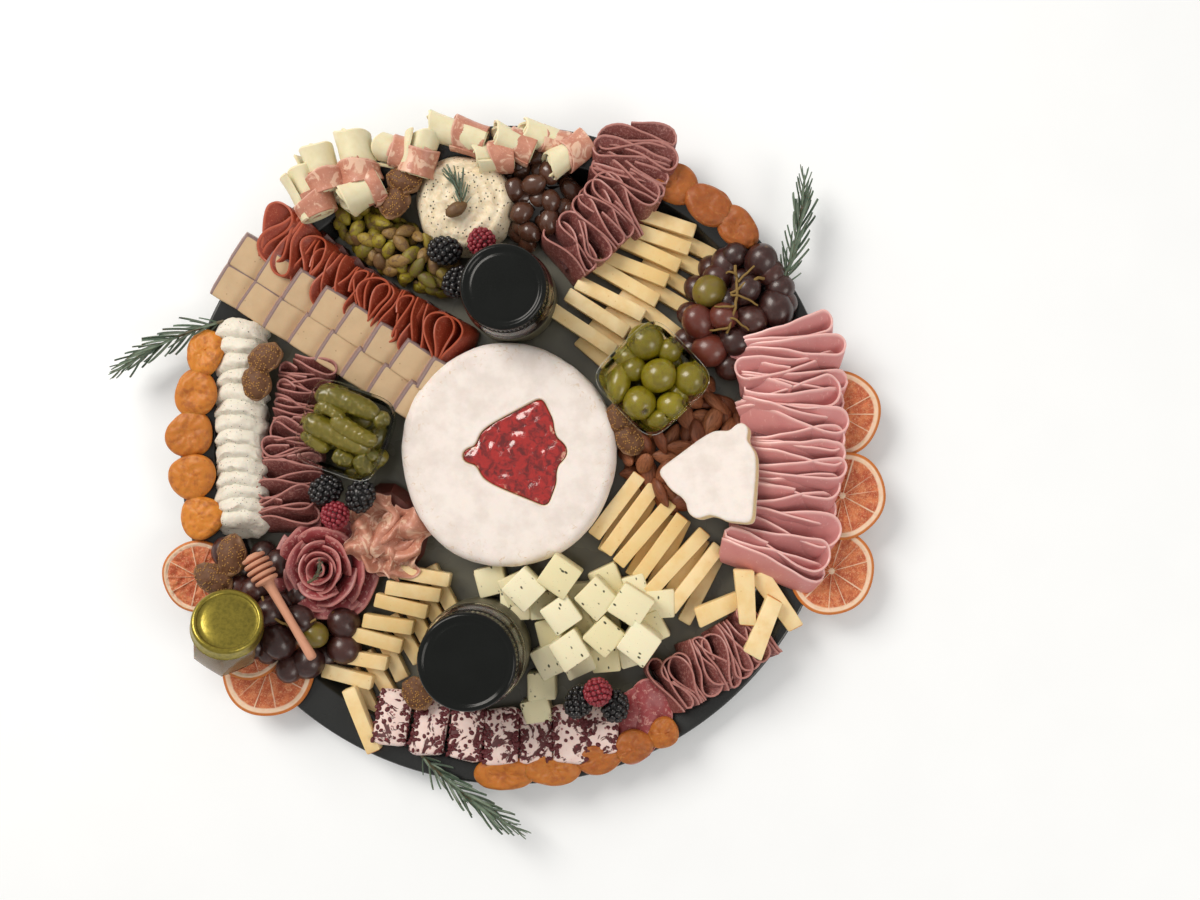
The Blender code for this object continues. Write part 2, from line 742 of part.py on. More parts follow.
def sprig(name, start, end, z, width, teeth):
    """A rosemary sprig: a thin stem whose short leaves make a toothed outline."""
    start, end = Vector(start), Vector(end)
    axis = end - start
    across = Vector((-axis.y, axis.x)).normalized()
    one_side, other_side = [], []
    for i in range(2 * teeth + 1):
        t = i / (2 * teeth)
        reach = width * (0.55 + 0.45 * math.sin(math.pi * min(t * 1.15, 1)))
        reach *= 1.0 if i % 2 else 0.55
        bow = across * 6 * math.sin(math.pi * t)
        one_side.append(start + axis * t + bow + across * reach)
        other_side.append(start + axis * t + bow - across * reach)
    outline = one_side + other_side[::-1]
    return skin(name, [[Vector((p.x, p.y, level)) for p in outline] for level in (z, z + 6)])


def sprigs():
    return (
        sprig("rosemary_right", (186, 116), (201, 196), 24, 9, 5),
        sprig("rosemary_left", (-196, 92), (-279, 54), 22, 10, 5),
        sprig("rosemary_bottom", (-62, -204), (12, -262), 22, 9, 5),
    )


def rolls():
    """Slices of ham rolled round a stick of white cheese, hollowed a little at the open end."""
    rows = {
        "ham_rolls_left": (
            ((-106, 216), (-99, 186), 13), ((-129, 205), (-121, 180), 13), ((-139, 192), (-128, 165), 13),
            ((-110, 174), (-88, 186), 12),
        ),
        "ham_rolls_middle": (
            ((-86, 208), (-64, 203), 11), ((-56, 216), (-63, 192), 12), ((-51, 225), (-16, 213), 11),
        ),
        "ham_rolls_right": (
            ((-20, 203), (2, 204), 10), ((-8, 217), (16, 207), 10), ((10, 219), (40, 211), 9),
            ((30, 196), (54, 214), 10),
        ),
    }
    hollow = 0.16
    made = []
    for name, places in rows.items():
        pieces = []
        for i, (start, end, radius) in enumerate(places):
            z = ON_RIM + radius + 0.8 * (i % 2)
            radii = ((hollow, radius * 0.3), (0.0, radius), (1.0, radius * 0.76))
            pieces.append(along((*start, z), (*end, z - 1.5), radii, 8))
        made.append(joined(name, pieces))
    return tuple(made)


LOOK_OF = {
    "tray": "black_plastic",
    "brie": "white_rind",
    "fruit_jam": "jam",
    "herb": "soft_cheese",
    "cranberry": "soft_cheese",
    "goat": "soft_cheese",
    "rind": "soft_cheese",
    "cheese": "yellow_cheese",
    "preserve_jar": "jar",
    "spread_jar": "jar",
    "honey_jar": "gold",
    "honey_dipper": "wood",
    "olive_cup": "clear_cup",
    "pickle_cup": "clear_cup",
    "olives": "olive",
    "pickles": "olive",
    "pistachios": "nut_green",
    "chocolate": "chocolate",
    "almonds": "almond",
    "grapes": "grape",
    "salami": "salami",
    "spicy": "spicy_salami",
    "ham": "ham",
    "cured": "ham",
    "apricots": "apricot",
    "citrus": "citrus",
    "dark_berry": "dark_berry",
    "red_berry": "red_berry",
    "figs": "fig",
    "rosemary": "herb",
}


def build():
    wheel, jam = brie()
    fixed = [
        tray(),
        wheel,
        jar("preserve_jar", PRESERVE_JAR_PLACE, PRESERVE_LID_RADIUS, PRESERVE_JAR_TOP, PRESERVE_BODY_RADIUS),
        jar("spread_jar", SPREAD_JAR_PLACE, SPREAD_LID_RADIUS, SPREAD_JAR_TOP, SPREAD_BODY_RADIUS),
        cup("olive_cup", OLIVE_CUP_PLACE, OLIVE_CUP_HALF, OLIVE_CUP_TOP, OLIVE_CUP_TURN),
        cup("pickle_cup", PICKLE_CUP_PLACE, PICKLE_CUP_HALF, PICKLE_CUP_TOP, PICKLE_CUP_TURN),
        cup_fill("olives", OLIVE_CUP_PLACE, OLIVE_CUP_HALF, OLIVE_CUP_TOP, OLIVE_CUP_TURN, 41, 47.5, 0),
        cup_fill("pickles", PICKLE_CUP_PLACE, PICKLE_CUP_HALF, PICKLE_CUP_TOP, PICKLE_CUP_TURN, 40, 44, 8),
        jam,
        honey_jar(),
        honey_dipper(),
        bell(),
    ]
    fitted = [*berries(), *figs(), *sprigs(), *citrus(), *apricots(), *rolls(), cheese_wedges(), *cheese_sticks()]
    fitted += [dome(), cheese_cubes(), flat_slice(), cranberry_slabs(), rind_slabs(), goat_rounds()]
    fitted += [*meats(), rose(), cured_ham(), *heaps()]
    done = fixed[:]
    for soft in fitted:
        for hard in done:
            press_in(soft, hard)
        done.append(soft)
    for piece in done:
        look = next(look for start, look in LOOK_OF.items() if piece.name.startswith(start))
        piece.data.materials.clear()
        piece.data.materials.append(finish(piece.name, look))


for old in list(bpy.data.objects):
    bpy.data.objects.remove(old)
build()
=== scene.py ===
# %% [markdown]
# # A charcuterie board
# A round black tray holds cheeses, folded meats, fruit, nuts, two cups and three small jars.
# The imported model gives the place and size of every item. This lesson gives each one its true surface:
# real slices instead of a solid row, separate nuts instead of a solid heap, and a finish made of nodes.
# All sizes below are in millimetres, measured from the middle of the tray's underside.

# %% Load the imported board
from math import atan2, cos, degrees, pi, radians, sin, sqrt

import bmesh
import bpy
import numpy as np
from mathutils import Euler, Matrix, Vector, noise
from mathutils.bvhtree import BVHTree


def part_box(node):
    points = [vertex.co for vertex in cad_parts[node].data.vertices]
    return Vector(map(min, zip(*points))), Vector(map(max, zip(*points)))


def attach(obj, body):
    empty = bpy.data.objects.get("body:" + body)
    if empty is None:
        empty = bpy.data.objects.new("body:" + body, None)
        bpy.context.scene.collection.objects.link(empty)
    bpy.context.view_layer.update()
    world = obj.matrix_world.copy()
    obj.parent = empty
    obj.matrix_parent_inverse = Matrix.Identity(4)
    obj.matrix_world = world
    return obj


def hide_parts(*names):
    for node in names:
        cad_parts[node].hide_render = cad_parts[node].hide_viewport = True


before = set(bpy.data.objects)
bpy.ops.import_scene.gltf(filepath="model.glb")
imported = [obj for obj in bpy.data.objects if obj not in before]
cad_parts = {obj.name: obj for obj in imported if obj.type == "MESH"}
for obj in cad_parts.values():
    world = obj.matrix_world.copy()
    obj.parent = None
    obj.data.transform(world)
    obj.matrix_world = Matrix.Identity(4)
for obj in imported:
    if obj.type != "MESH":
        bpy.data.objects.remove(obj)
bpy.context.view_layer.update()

MM = 0.001

# %% [markdown]
# The camera looks straight down on the board, as a guest standing over the table does.
# A lens shift of a few hundredths places the board left of the middle without tilting the view, which
# keeps the round tray round. Turning the camera instead would squeeze it into an oval.

# %% Camera
CAMERA_PLACE = (0.097, -0.0104, 0.85)
SHIFT = (-50 / 1200, 20 / 1200)
camera = bpy.data.objects.new("camera", bpy.data.cameras.new("camera"))
camera.location = CAMERA_PLACE
camera.data.lens = 36.0
camera.data.sensor_width = 36.0
camera.data.shift_x, camera.data.shift_y = SHIFT
bpy.context.collection.objects.link(camera)
bpy.context.scene.camera = camera
print("camera height above the table:", CAMERA_PLACE[2], "m")

# %% [markdown]
# Soft studio light comes from one wide panel above and behind the left shoulder, a weaker one from the
# right, and an even sky. A wide panel keeps the shadows in the folds soft. A sun lamp would cut them hard.
# The plain colour transform shows a painted colour as it was chosen.

# %% Light and floor
scene = bpy.context.scene
scene.view_settings.view_transform = "Standard"
PANELS = {"key": ((-1.0, 1.0, 1.4), 1.0, 30.0), "fill": ((1.2, -0.7, 1.2), 0.8, 8.0)}
WARM = (1.0, 0.95, 0.88)
for name, (place, width, watts) in PANELS.items():
    light = bpy.data.lights.new(name, "AREA")
    light.size, light.energy, light.color = width, watts, WARM
    lamp = bpy.data.objects.new(name, light)
    lamp.location = place
    lamp.rotation_euler = (-Vector(place)).to_track_quat("-Z", "Y").to_euler()
    bpy.context.collection.objects.link(lamp)
SKY = 0.52
world = bpy.data.worlds.new("even sky")
world.use_nodes = True
sky = world.node_tree.nodes["Background"]
sky.inputs["Color"].default_value = (1.0, 0.97, 0.93, 1.0)
sky.inputs["Strength"].default_value = SKY
scene.world = world
print("light panels:", ", ".join(PANELS))

# %% [markdown]
# A finish is one material and the nodes that paint it. Writing the node maths as plain Python is easier
# to read than dozens of lines that add a node and link it, so a Socket wraps one output of a node and
# its + - * operators add the Math node that does the sum. Vectors go through Vector Math in the same way.
# Every other node comes from one method, which takes the node's type, its settings and its inputs.

# %% Shader helpers
def tint(red, green, blue):
    """A colour as the eye sees it, 0 to 1, turned into the linear numbers that a shader wants."""
    return tuple(c / 12.92 if c <= 0.04045 else ((c + 0.055) / 1.055) ** 2.4
                 for c in (red, green, blue)) + (1.0,)


class Socket:
    """One output of a node, which adds the node for each sum that is done with it."""

    def __init__(self, finish, output):
        self.finish, self.output = finish, output

    def sum(self, operation, first, second):
        if "VECTOR" not in (getattr(getattr(v, "output", None), "type", "") for v in (first, second)):
            return self.finish.node("Math", {"operation": operation}, [first, second])
        pair = [(v,) * 3 if isinstance(v, (int, float)) else v for v in (first, second)]
        return self.finish.node("VectorMath", {"operation": operation}, pair)

    def __add__(self, other):
        return self.sum("ADD", self, other)

    def __sub__(self, other):
        return self.sum("SUBTRACT", self, other)

    def __rsub__(self, other):
        return self.sum("SUBTRACT", other, self)

    def __mul__(self, other):
        return self.sum("MULTIPLY", self, other)

    __radd__ = __add__
    __rmul__ = __mul__


class Finish:
    """One material: a shader with fixed numbers set on its own sockets, and the nodes that vary it."""

    def __init__(self, name, soft=(0, 0.05), **fixed):
        """Soft is the share of light that goes under the surface, and how far in metres."""
        self.material = bpy.data.materials.new(name)
        self.material.use_nodes = True
        self.tree = self.material.node_tree
        self.shader = self.tree.nodes["Principled BSDF"]
        self.colour = None
        self.paint(subsurface_weight=soft[0], subsurface_scale=soft[1], **fixed)

    def feed(self, socket, value):
        if isinstance(value, Socket):
            self.tree.links.new(value.output, socket)
        elif value is not None:
            socket.default_value = tint(*value) if socket.type == "RGBA" and len(value) == 3 else value

    def paint(self, **values):
        """Sets the shader's sockets, named in small letters. The colour so far goes in too."""
        if self.colour:
            values.setdefault("base_color", self.colour)
        for name, value in values.items():
            self.feed(self.shader.inputs[name.replace("_", " ").title().replace("Ior", "IOR")], value)
        return self

    def node(self, kind, settings, inputs, output=0):
        made = self.tree.nodes.new("ShaderNode" + kind)
        for name, value in settings.items():
            setattr(made, name, value)
        for key, value in enumerate(inputs) if isinstance(inputs, list) else inputs.items():
            self.feed(made.inputs[key], value)
        return Socket(self, made.outputs[output])

    def place(self):
        return self.node("TexCoord", {}, {}, "Object")

    def mark(self, name):
        return self.node("Attribute", {"attribute_name": name}, {}, "Fac")

    def local(self):
        """Where a point lies on its own nut or slice, whichever way that one is turned."""
        return self.node("Attribute", {"attribute_name": "local"}, {}, "Vector")

    def scaled(self, place, sizes):
        return self.node("VectorMath", {"operation": "MULTIPLY"}, [place, sizes])

    def grain(self, size, detail=2.0, rough=0.5, at=None, bent=0.0):
        inputs = {"Vector": at or self.place(), "Scale": 1 / (size * MM), "Detail": detail,
                  "Roughness": rough}
        return self.node("TexNoise", {}, dict(inputs, Distortion=bent), "Fac")

    def cells(self, size, at=None):
        inputs = {"Vector": at or self.place(), "Scale": 1 / (size * MM)}
        return self.node("TexVoronoi", {}, inputs, "Distance")

    def step(self, value, low, high):
        """0 below low, 1 above high, and smooth between. It falls instead of rising where low is larger."""
        if low > high:
            return 1 - self.step(value, high, low)
        return self.node("MapRange", {"interpolation_type": "SMOOTHSTEP"},
                         {"Value": value, "From Min": low, "From Max": high})

    def mix(self, factor, first, second):
        """The first colour where factor is 0, the second where it is 1."""
        return self.node("Mix", {"data_type": "RGBA"}, {0: factor, 6: first, 7: second}, 2)

    def over(self, factor, tone):
        """Lays one more tone over the colour so far, where factor is 1."""
        self.colour = self.mix(factor, self.colour, tone)

    def specks(self, size, low, high, patch, some, many):
        """Round specks of a size, kept only in patches, so that they lie in loose groups."""
        return self.step(self.cells(size), high, low) * self.step(self.grain(patch, 2), some, many)

    def relief(self, height, depth, strength=1.0, under=None):
        """A normal that shades height, a number from 0 to 1, as if it stood up to depth mm."""
        return self.node("Bump", {}, {"Height": height, "Distance": depth * MM, "Strength": strength,
                "Normal": under}, "Normal")


print("shader helpers ready")

# %% [markdown]
# Shapes are worked out as arrays of points, because a board holds hundreds of nuts, slices and needles.
# A Shape carries its points, its faces and a few numbers at each point, such as how near it lies to a
# rind. A face of three corners keeps -1 as its fourth. Many shapes are joined into one piece, with the
# tone of each kept at its points, so that no two nuts have quite the same colour.

# %% Mesh helpers
class Shape:
    """Points in mm, faces, and marks: one number or vector for each point, by name."""

    def __init__(self, points, faces, **marks):
        self.points = np.asarray(points, float).reshape(-1, 3)
        self.faces = np.asarray(faces, int).reshape(-1, 4)
        self.marks = {"local": self.points.copy()}
        self.marks.update({name: np.asarray(values, float) for name, values in marks.items()})

    def placed(self, matrix, **marks):
        """A copy moved by a 4x4 matrix. A mark given as one number is the same at all its points."""
        matrix = np.array(matrix)
        copy = Shape(self.points @ matrix[:3, :3].T + matrix[:3, 3], self.faces)
        copy.marks = dict(self.marks)
        for name, value in marks.items():
            copy.marks[name] = np.full(len(self.points), float(value))
        return copy


def joined(shapes):
    """All the shapes as one. A mark that one of them lacks is 0 there."""
    starts = np.cumsum([0] + [len(s.points) for s in shapes])
    faces = np.concatenate([np.where(s.faces < 0, -1, s.faces + start) for s, start in zip(shapes, starts)])
    whole = Shape(np.concatenate([s.points for s in shapes]), faces)
    for name in {name for s in shapes for name in s.marks}:
        parts = [s.marks.get(name, np.zeros(len(s.points))) for s in shapes]
        whole.marks[name] = np.concatenate(parts)
    return whole


def xyz(x, y, z):
    """Points from three lists or numbers."""
    return np.stack(np.broadcast_arrays(x, y, z), -1)


def square_grid(count):
    return np.meshgrid(np.linspace(-1, 1, count), np.linspace(-1, 1, count), indexing="ij")


def around_circle(count):
    return np.linspace(0, 2 * pi, count, endpoint=False)


def circle(radius, z, count=72):
    """A level ring of points."""
    turn = around_circle(count)
    return xyz(radius * np.cos(turn), radius * np.sin(turn), z)


def grid_faces(rows, columns, round_rows=False, round_columns=True):
    """Four-cornered faces between the points of a grid, wrapped round where it closes on itself."""
    row = np.arange(rows if round_rows else rows - 1)[:, None]
    column = np.arange(columns if round_columns else columns - 1)[None, :]
    below, across = (row + 1) % rows, (column + 1) % columns
    corners = [row * columns + column, row * columns + across, below * columns + across, below * columns
               + column]
    return np.stack([np.broadcast_to(c, (row.size, column.size)).ravel() for c in corners], 1)


def loft(rings, **marks):
    """A closed skin over rings of points, with a fan over the first and the last ring."""
    rings = np.asarray(rings, float)
    count, around = rings.shape[:2]
    points = np.concatenate([rings.reshape(-1, 3), rings[:1].mean(1), rings[-1:].mean(1)])
    first, last = count * around, count * around + 1
    ring = np.arange(around)
    after = (ring + 1) % around
    end = (count - 1) * around
    fans = [np.stack([after, ring, np.full(around, first), np.full(around, -1)], 1)]
    fans.append(np.stack([ring + end, after + end, np.full(around, last), np.full(around, -1)], 1))
    faces = np.concatenate([grid_faces(count, around)] + fans)
    shape = Shape(points, faces)
    for name, values in marks.items():
        values = np.asarray(values, float)
        if values.ndim == 1:
            values = np.repeat(values[:, None], around, 1)
        shape.marks[name] = np.concatenate([values.ravel(), [values[0].mean(), values[-1].mean()]])
    return shape


def lathe(profile, around=48, **marks):
    """A turned form from (radius, height) pairs."""
    return loft([circle(r, z, around) for r, z in profile], **marks)


def ball(rounds):
    """A ball of radius 1 made of small triangles, without poles."""
    mesh = bmesh.new()
    bmesh.ops.create_icosphere(mesh, subdivisions=rounds, radius=1.0)
    points = np.array([v.co for v in mesh.verts])
    faces = [[v.index for v in f.verts] + [-1] for f in mesh.faces]
    mesh.free()
    return Shape(points, faces)


def sheet(grid, thickness, **marks):
    """A slice of even thickness whose middle surface is a grid of points, with a rounded edge."""
    grid = np.asarray(grid, float)
    rows, columns = grid.shape[:2]
    side = np.cross(np.gradient(grid, axis=1), np.gradient(grid, axis=0))
    side /= np.maximum(np.linalg.norm(side, axis=2, keepdims=True), 1e-9)
    front, back = grid + side * thickness / 2, grid - side * thickness / 2
    r, c = np.arange(rows), np.arange(columns)
    path = [(i, 0) for i in r] + [(rows - 1, j) for j in c[1:]]
    path += [(i, columns - 1) for i in r[-2::-1]] + [(0, j) for j in c[-2:0:-1]]
    path = np.array(path)
    inner = np.clip(path, [1, 1], [rows - 2, columns - 2])
    edge = grid[path[:, 0], path[:, 1]]
    out = edge - grid[inner[:, 0], inner[:, 1]]
    out /= np.maximum(np.linalg.norm(out, axis=1, keepdims=True), 1e-9)
    edge = edge + out * thickness * 0.45
    flat = grid_faces(rows, columns, False, False)
    size = rows * columns
    loop = path[:, 0] * columns + path[:, 1]
    after, rim = np.roll(loop, -1), 2 * size + np.arange(len(loop))
    next_rim = np.roll(rim, -1)
    faces = [flat, flat[:, ::-1] + size]
    faces.append(np.stack([loop, rim, next_rim, after], 1))
    faces.append(np.stack([rim, loop + size, after + size, next_rim], 1))
    shape = Shape(np.concatenate([front.reshape(-1, 3), back.reshape(-1, 3), edge]), np.concatenate(faces))
    for name, values in marks.items():
        values = np.asarray(values, float)
        flat_values = values.reshape(size, *values.shape[2:])
        shape.marks[name] = np.concatenate([flat_values, flat_values, flat_values[loop]])
    return shape


def lumps(points, size, seed=0):
    """Soft noise from -1 to 1 at each point, with swellings about size mm wide."""
    shift = Vector((seed * 17.31, seed * 5.17, seed * 9.73))
    flat = np.asarray(points, float).reshape(-1, 3) / size
    values = np.array([noise.noise(Vector(p) + shift) for p in flat])
    return values.reshape(np.asarray(points).shape[:-1])


def bumps(points, size, seed):
    """Soft noise along all three axes."""
    return xyz(*(lumps(points, size, seed + k) for k in range(3)))


def heading(way):
    return degrees(atan2(way[1], way[0]))


def at(place, yaw=0.0, pitch=0.0, roll=0.0, size=1.0):
    """A 4x4 place in mm with turns in degrees and one size, or three."""
    turn = Matrix.Rotation(radians(yaw), 4, "Z") @ Matrix.Rotation(radians(pitch), 4, "Y")
    turn = turn @ Matrix.Rotation(radians(roll), 4, "X")
    sizes = (size,) * 3 if isinstance(size, (int, float)) else size
    return Matrix.Translation(Vector(place)) @ turn @ Matrix.Diagonal(Vector((*sizes, 1.0)))


def pointing(start, end, spin=0.0):
    """A 4x4 place at start whose Z axis runs to end, and the distance between them."""
    way = Vector(end) - Vector(start)
    turn = way.to_track_quat("Z", "Y").to_matrix().to_4x4() @ Matrix.Rotation(spin, 4, "Z")
    return Matrix.Translation(Vector(start)) @ turn, way.length


def bend(first, middle, last):
    """A curve through three places: a share from 0 to 1 gives the place and the direction there."""
    first, middle, last = (np.array(p, float) for p in (first, middle, last))
    control = 2 * middle - (first + last) / 2

    def spot(share):
        share = np.asarray(share, float)[..., None]
        place = first * (1 - share) ** 2 + 2 * control * share * (1 - share) + last * share ** 2
        way = 2 * (control - first) * (1 - share) + 2 * (last - control) * share
        return place, way / np.linalg.norm(way, axis=-1, keepdims=True)

    return spot


def piece(name, shape, finish, slot, *nodes, crease=40.0):
    """Makes the shape a Blender object that rides on the board and stands for its CAD nodes."""
    mesh = bpy.data.meshes.new(name)
    corners = [face[face >= 0].tolist() for face in shape.faces]
    mesh.from_pydata((shape.points * MM).tolist(), [], corners)
    for mark, values in shape.marks.items():
        kind = "FLOAT_VECTOR" if values.ndim == 2 else "FLOAT"
        layer = mesh.attributes.new(mark, kind, "POINT")
        if kind == "FLOAT":
            layer.data.foreach_set("value", values)
        else:
            layer.data.foreach_set("vector", (values * MM).ravel())
    edit = bmesh.new()
    edit.from_mesh(mesh)
    bmesh.ops.remove_doubles(edit, verts=edit.verts, dist=0.002 * MM)
    bmesh.ops.recalc_face_normals(edit, faces=edit.faces)
    edit.to_mesh(mesh)
    edit.free()
    mesh.shade_smooth()
    mesh.set_sharp_from_angle(angle=radians(crease))
    mesh.materials.append(finish.material)
    made = bpy.data.objects.new(name, mesh)
    bpy.context.collection.objects.link(made)
    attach(made, "root")
    if nodes:
        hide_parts(*nodes)
    triangles = sum(len(p.vertices) - 2 for p in mesh.polygons)
    print(f"{name}: {triangles} triangles")
    return made


# %% [markdown]
# Loose food has to lie on something. The imported solids say how high each heap stands, so a ray sent down
# on a solid finds the height and the slope there. A core, the same solid drawn in and lowered, fills the
# middle of each heap. Where a finish reads its mark, the core is painted dark, a painted shade in the gaps,
# so that no gap between two nuts shows the tray.

# %% Heights and cores
def solid_of(node):
    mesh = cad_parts[node].data
    points = np.array([v.co for v in mesh.vertices]) / MM
    faces = [list(p.vertices) for p in mesh.polygons]
    return points, faces


TREES = {}


def ground(node, x, y):
    """The place on top of a CAD solid at (x, y) and the way it faces, or None beside it."""
    if node not in TREES:
        points, faces = solid_of(node)
        TREES[node] = BVHTree.FromPolygons([Vector(p) for p in points], faces)
    hit, facing, _, _ = TREES[node].ray_cast(Vector((x, y, 200.0)), Vector((0, 0, -1)))
    return None if hit is None else (hit, facing)


def core(node, keep=0.86, lower=5.0):
    """The solid of a heap, drawn in towards its middle and lowered, as a Shape."""
    points, faces = solid_of(node)
    middle = (points.min(0) + points.max(0)) / 2
    floor = points[:, 2].min()
    points = middle + (points - middle) * keep
    points[:, 2] = np.maximum(points[:, 2] - lower, floor + 0.3)
    triangles = [[f[0], f[i], f[i + 1], -1] for f in faces for i in range(1, len(f) - 1)]
    return Shape(points, triangles, core=np.ones(len(points)))


def spread(node, spacing, seed):
    """Places on a heap at least spacing mm apart, in a random but repeatable order."""
    rng = np.random.default_rng(seed)
    low, high = (np.array(corner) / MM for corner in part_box(node))
    kept = []
    for x, y in rng.uniform(low[:2], high[:2], (4000, 2)):
        found = ground(node, x, y)
        if found and all((found[0] - other[0]).length > spacing for other in kept):
            kept.append(found)
    return kept


def lying(hit, facing, rng, sink=0.0, tilt=12.0):
    """A 4x4 place whose Z axis stands on a slope, turned at random and sunk a little."""
    up = Vector(facing).to_track_quat("Z", "Y").to_matrix().to_4x4()
    loose = Euler([radians(v) for v in (rng.normal(0, tilt), rng.normal(0, tilt), rng.uniform(0, 360))])
    return Matrix.Translation(hit - Vector((0, 0, sink))) @ up @ loose.to_matrix().to_4x4()


print("heights ready")
# %% [markdown]
# ## The tray
# The tray is one sheet of glossy black plastic, drawn down into a flat floor with a wide rim. It could be a
# cylinder with a bevel, but a turned profile gives the shoulder, the two fine steps of the rim and the
# rolled lip their real places. The floor is painted far paler than the rim, a painted reflection in the
# black plastic. The rim keeps dark scuffs of its own.

# %% Tray
FLOOR_Z = 2.2
tray_plastic = look = Finish("tray plastic", specular_ior_level=0.5, coat_roughness=0.12)
scuffs = look.grain(0.7, 4, 0.65)
# Patches that vary the gloss, and the tone of the painted floor reflection.
film = look.grain(46, 3, 0.55)
floor_mark = look.mark("floor")
rim_colour = look.mix(scuffs, (0.085, 0.095, 0.095), (0.12, 0.13, 0.13))
# Painted reflection: the floor of black plastic is coloured a pale grey-olive.
floor_colour = look.mix(film, (0.36, 0.355, 0.31), (0.46, 0.45, 0.39))
look.paint(base_color=look.mix(floor_mark, rim_colour, floor_colour),
           roughness=look.step(film, 0.3, 0.75) * 0.16 + 0.2,
           coat_weight=look.step(scuffs, 0.35, 0.6) * 0.3, normal=look.relief(scuffs, 0.03))
TRAY_PROFILE = [(0, 0), (190, 0), (196.2, 0.3), (197.6, 1.1), (206.4, 13.2), (207.8, 14),
                (227.6, 14), (228.5, 14.6), (228.5, 17.4), (228.2, 18.3), (227.4, 18.9), (226.3, 19),
                (224.6, 18.4), (223.4, 18.3), (222.6, 18), (212.4, 16.9), (211.8, 16.5), (206.6, 16.1),
                (205.4, 15.6), (204.6, 14.6), (197, 3.4), (195.9, 2.6), (194.2, FLOOR_Z),
                (120, FLOOR_Z), (0, FLOOR_Z)]
FLOOR_MARK = [1 if i >= 21 else 0 for i in range(len(TRAY_PROFILE))]
tray = lathe([(max(r, 0.01), z) for r, z in TRAY_PROFILE], 256, floor=FLOOR_MARK)
piece("tray_shell", tray, tray_plastic, "tray_plastic", "tray", crease=50)
TRAY_TOP = np.array(TRAY_PROFILE[11:23])[::-1]


def tray_height(x, y):
    """How high the tray stands under a place: its floor, wall or rim."""
    return np.interp(np.hypot(x, y), *TRAY_TOP.T)


def laid_on_tray(shape, base, crest, gap=0.9):
    """Squeezes a slice from below where it would cross the tray's wall or rim, so that it lies on them."""
    x, y, z = shape.points.T
    wall = tray_height(x, y) + gap
    shape.points[:, 2] += np.clip(wall - base, 0, None) * np.clip((crest - z) / (crest - base), 0, 1)
    return shape


print("highest point of the tray:", TRAY_TOP[:, 1].max(), "mm")

# %% [markdown]
# ## The brie and its window of jam
# A whole soft cheese in a white velvety rind, with a bell cut out of its top and filled with jam. A hole
# could be cut with a Boolean, which leaves long thin faces that shade badly. Instead, rings of points run
# from the bell's outline out to the cheese's outline and over its shoulder, so the skin flows round the
# cut.

# %% Bell outline
def bell(grow=0):
    """Half a bell with its knob at the origin and its clapper on +X, then the mirrored half."""
    half = [(5.6 + 5.6 * cos(a), 5.6 * sin(a)) for a in np.radians([180, 155, 130, 105, 80])]
    for t in np.linspace(0, 1, 12):
        half.append((9.5 + 45 * t, 7 + 29.7 * (sqrt(t) - 0.06 * sin(pi * t))))
    half += [(56.6, 36.1), (58, 34.2), (60.6, 28), (62.6, 23.5), (63.5, 21), (63.6, 15)]
    half += [(63.4 + 8.6 * cos(a), 8.6 * sin(a)) for a in np.radians([75, 55, 35, 17, 0])]
    points = np.array(half + [(x, -y) for x, y in half[-2:0:-1]])
    fine = []
    for first, second in zip(points, np.roll(points, -1, 0)):
        steps = max(1, int(np.linalg.norm(second - first) / 1.6))
        fine += [first + (second - first) * k / steps for k in range(steps)]
    fine = np.array(fine)
    for _ in range(2):
        fine = fine * 0.5 + (np.roll(fine, 1, 0) + np.roll(fine, -1, 0)) * 0.25
    out = np.roll(fine, -1, 0) - np.roll(fine, 1, 0)
    out = np.stack([out[:, 1], -out[:, 0]], 1) / np.linalg.norm(out, axis=1, keepdims=True)
    side = 1 if np.sum(out * (fine - fine.mean(0))) > 0 else -1
    return fine + out * side * grow


def turned(points, place, yaw):
    angle = radians(yaw)
    spin = np.array([[cos(angle), sin(angle)], [-sin(angle), cos(angle)]])
    return points @ spin + place


POCKET_PLACE, POCKET_YAW = (-31, -1), 2.8
pocket = turned(bell(), POCKET_PLACE, POCKET_YAW)
pocket_middle = np.array(POCKET_PLACE) + (40, 1.5)
print("points round the bell:", len(pocket))

# %% [markdown]
# The rind is white with a breath of pink and grey, rubbed thin and straw-coloured in scratches near its
# edge. Its felt is far too fine to model, so a small bump does that, while the dents and the rolled
# shoulder are real shape.

# %% Brie
BRIE_HALF, BRIE_TOP, ON_FLOOR, POCKET_FLOOR = (73.5, 77), 35, 2.95, 20
white_rind = look = Finish("white rind", roughness=0.82, soft=(0.12, 0.003),
                           sheen_weight=0.15, sheen_roughness=0.6)
felt = look.grain(0.55, 4, 0.7)
bloom = look.grain(15, 4, 0.6)
scratch = look.grain(5, 5, 0.75, bent=1.2)
paste_mark = look.mark("paste")
edge_mark = look.mark("edge")
look.colour = look.mix(look.step(bloom, 0.35, 0.7), (0.92, 0.885, 0.865), (0.87, 0.83, 0.805))
worn = look.step(scratch, 0.56, 0.66) * edge_mark
look.over(worn * 0.75, (0.80, 0.69, 0.56))
paste_colour = look.mix(look.grain(2.2, 4, 0.6), (0.90, 0.82, 0.62), (0.84, 0.73, 0.51))
look.paint(base_color=look.mix(paste_mark, look.colour, paste_colour),
           normal=look.relief(felt, 0.10, 0.7, look.relief(bloom, 0.5, 0.5)))


def brie_outline(points_round, inset=0):
    """Where rays from the middle of the bell through its outline meet the cheese's own outline."""
    found = []
    for point in points_round:
        way = (point - pocket_middle) / np.linalg.norm(point - pocket_middle)
        reach = 0
        for step in (16, 4, 1, 0.25, 0.05):
            while True:
                spot = pocket_middle + way * (reach + step)
                angle = atan2(spot[1], spot[0])
                wobble = 1 + 0.008 * sin(3 * angle + 1) + 0.006 * sin(5 * angle)
                x, y = spot[0] / (BRIE_HALF[0] * wobble - inset), spot[1] / (BRIE_HALF[1] * wobble - inset)
                if x * x + y * y > 1:
                    break
                reach += step
        found.append(pocket_middle + way * reach)
    return np.array(found)


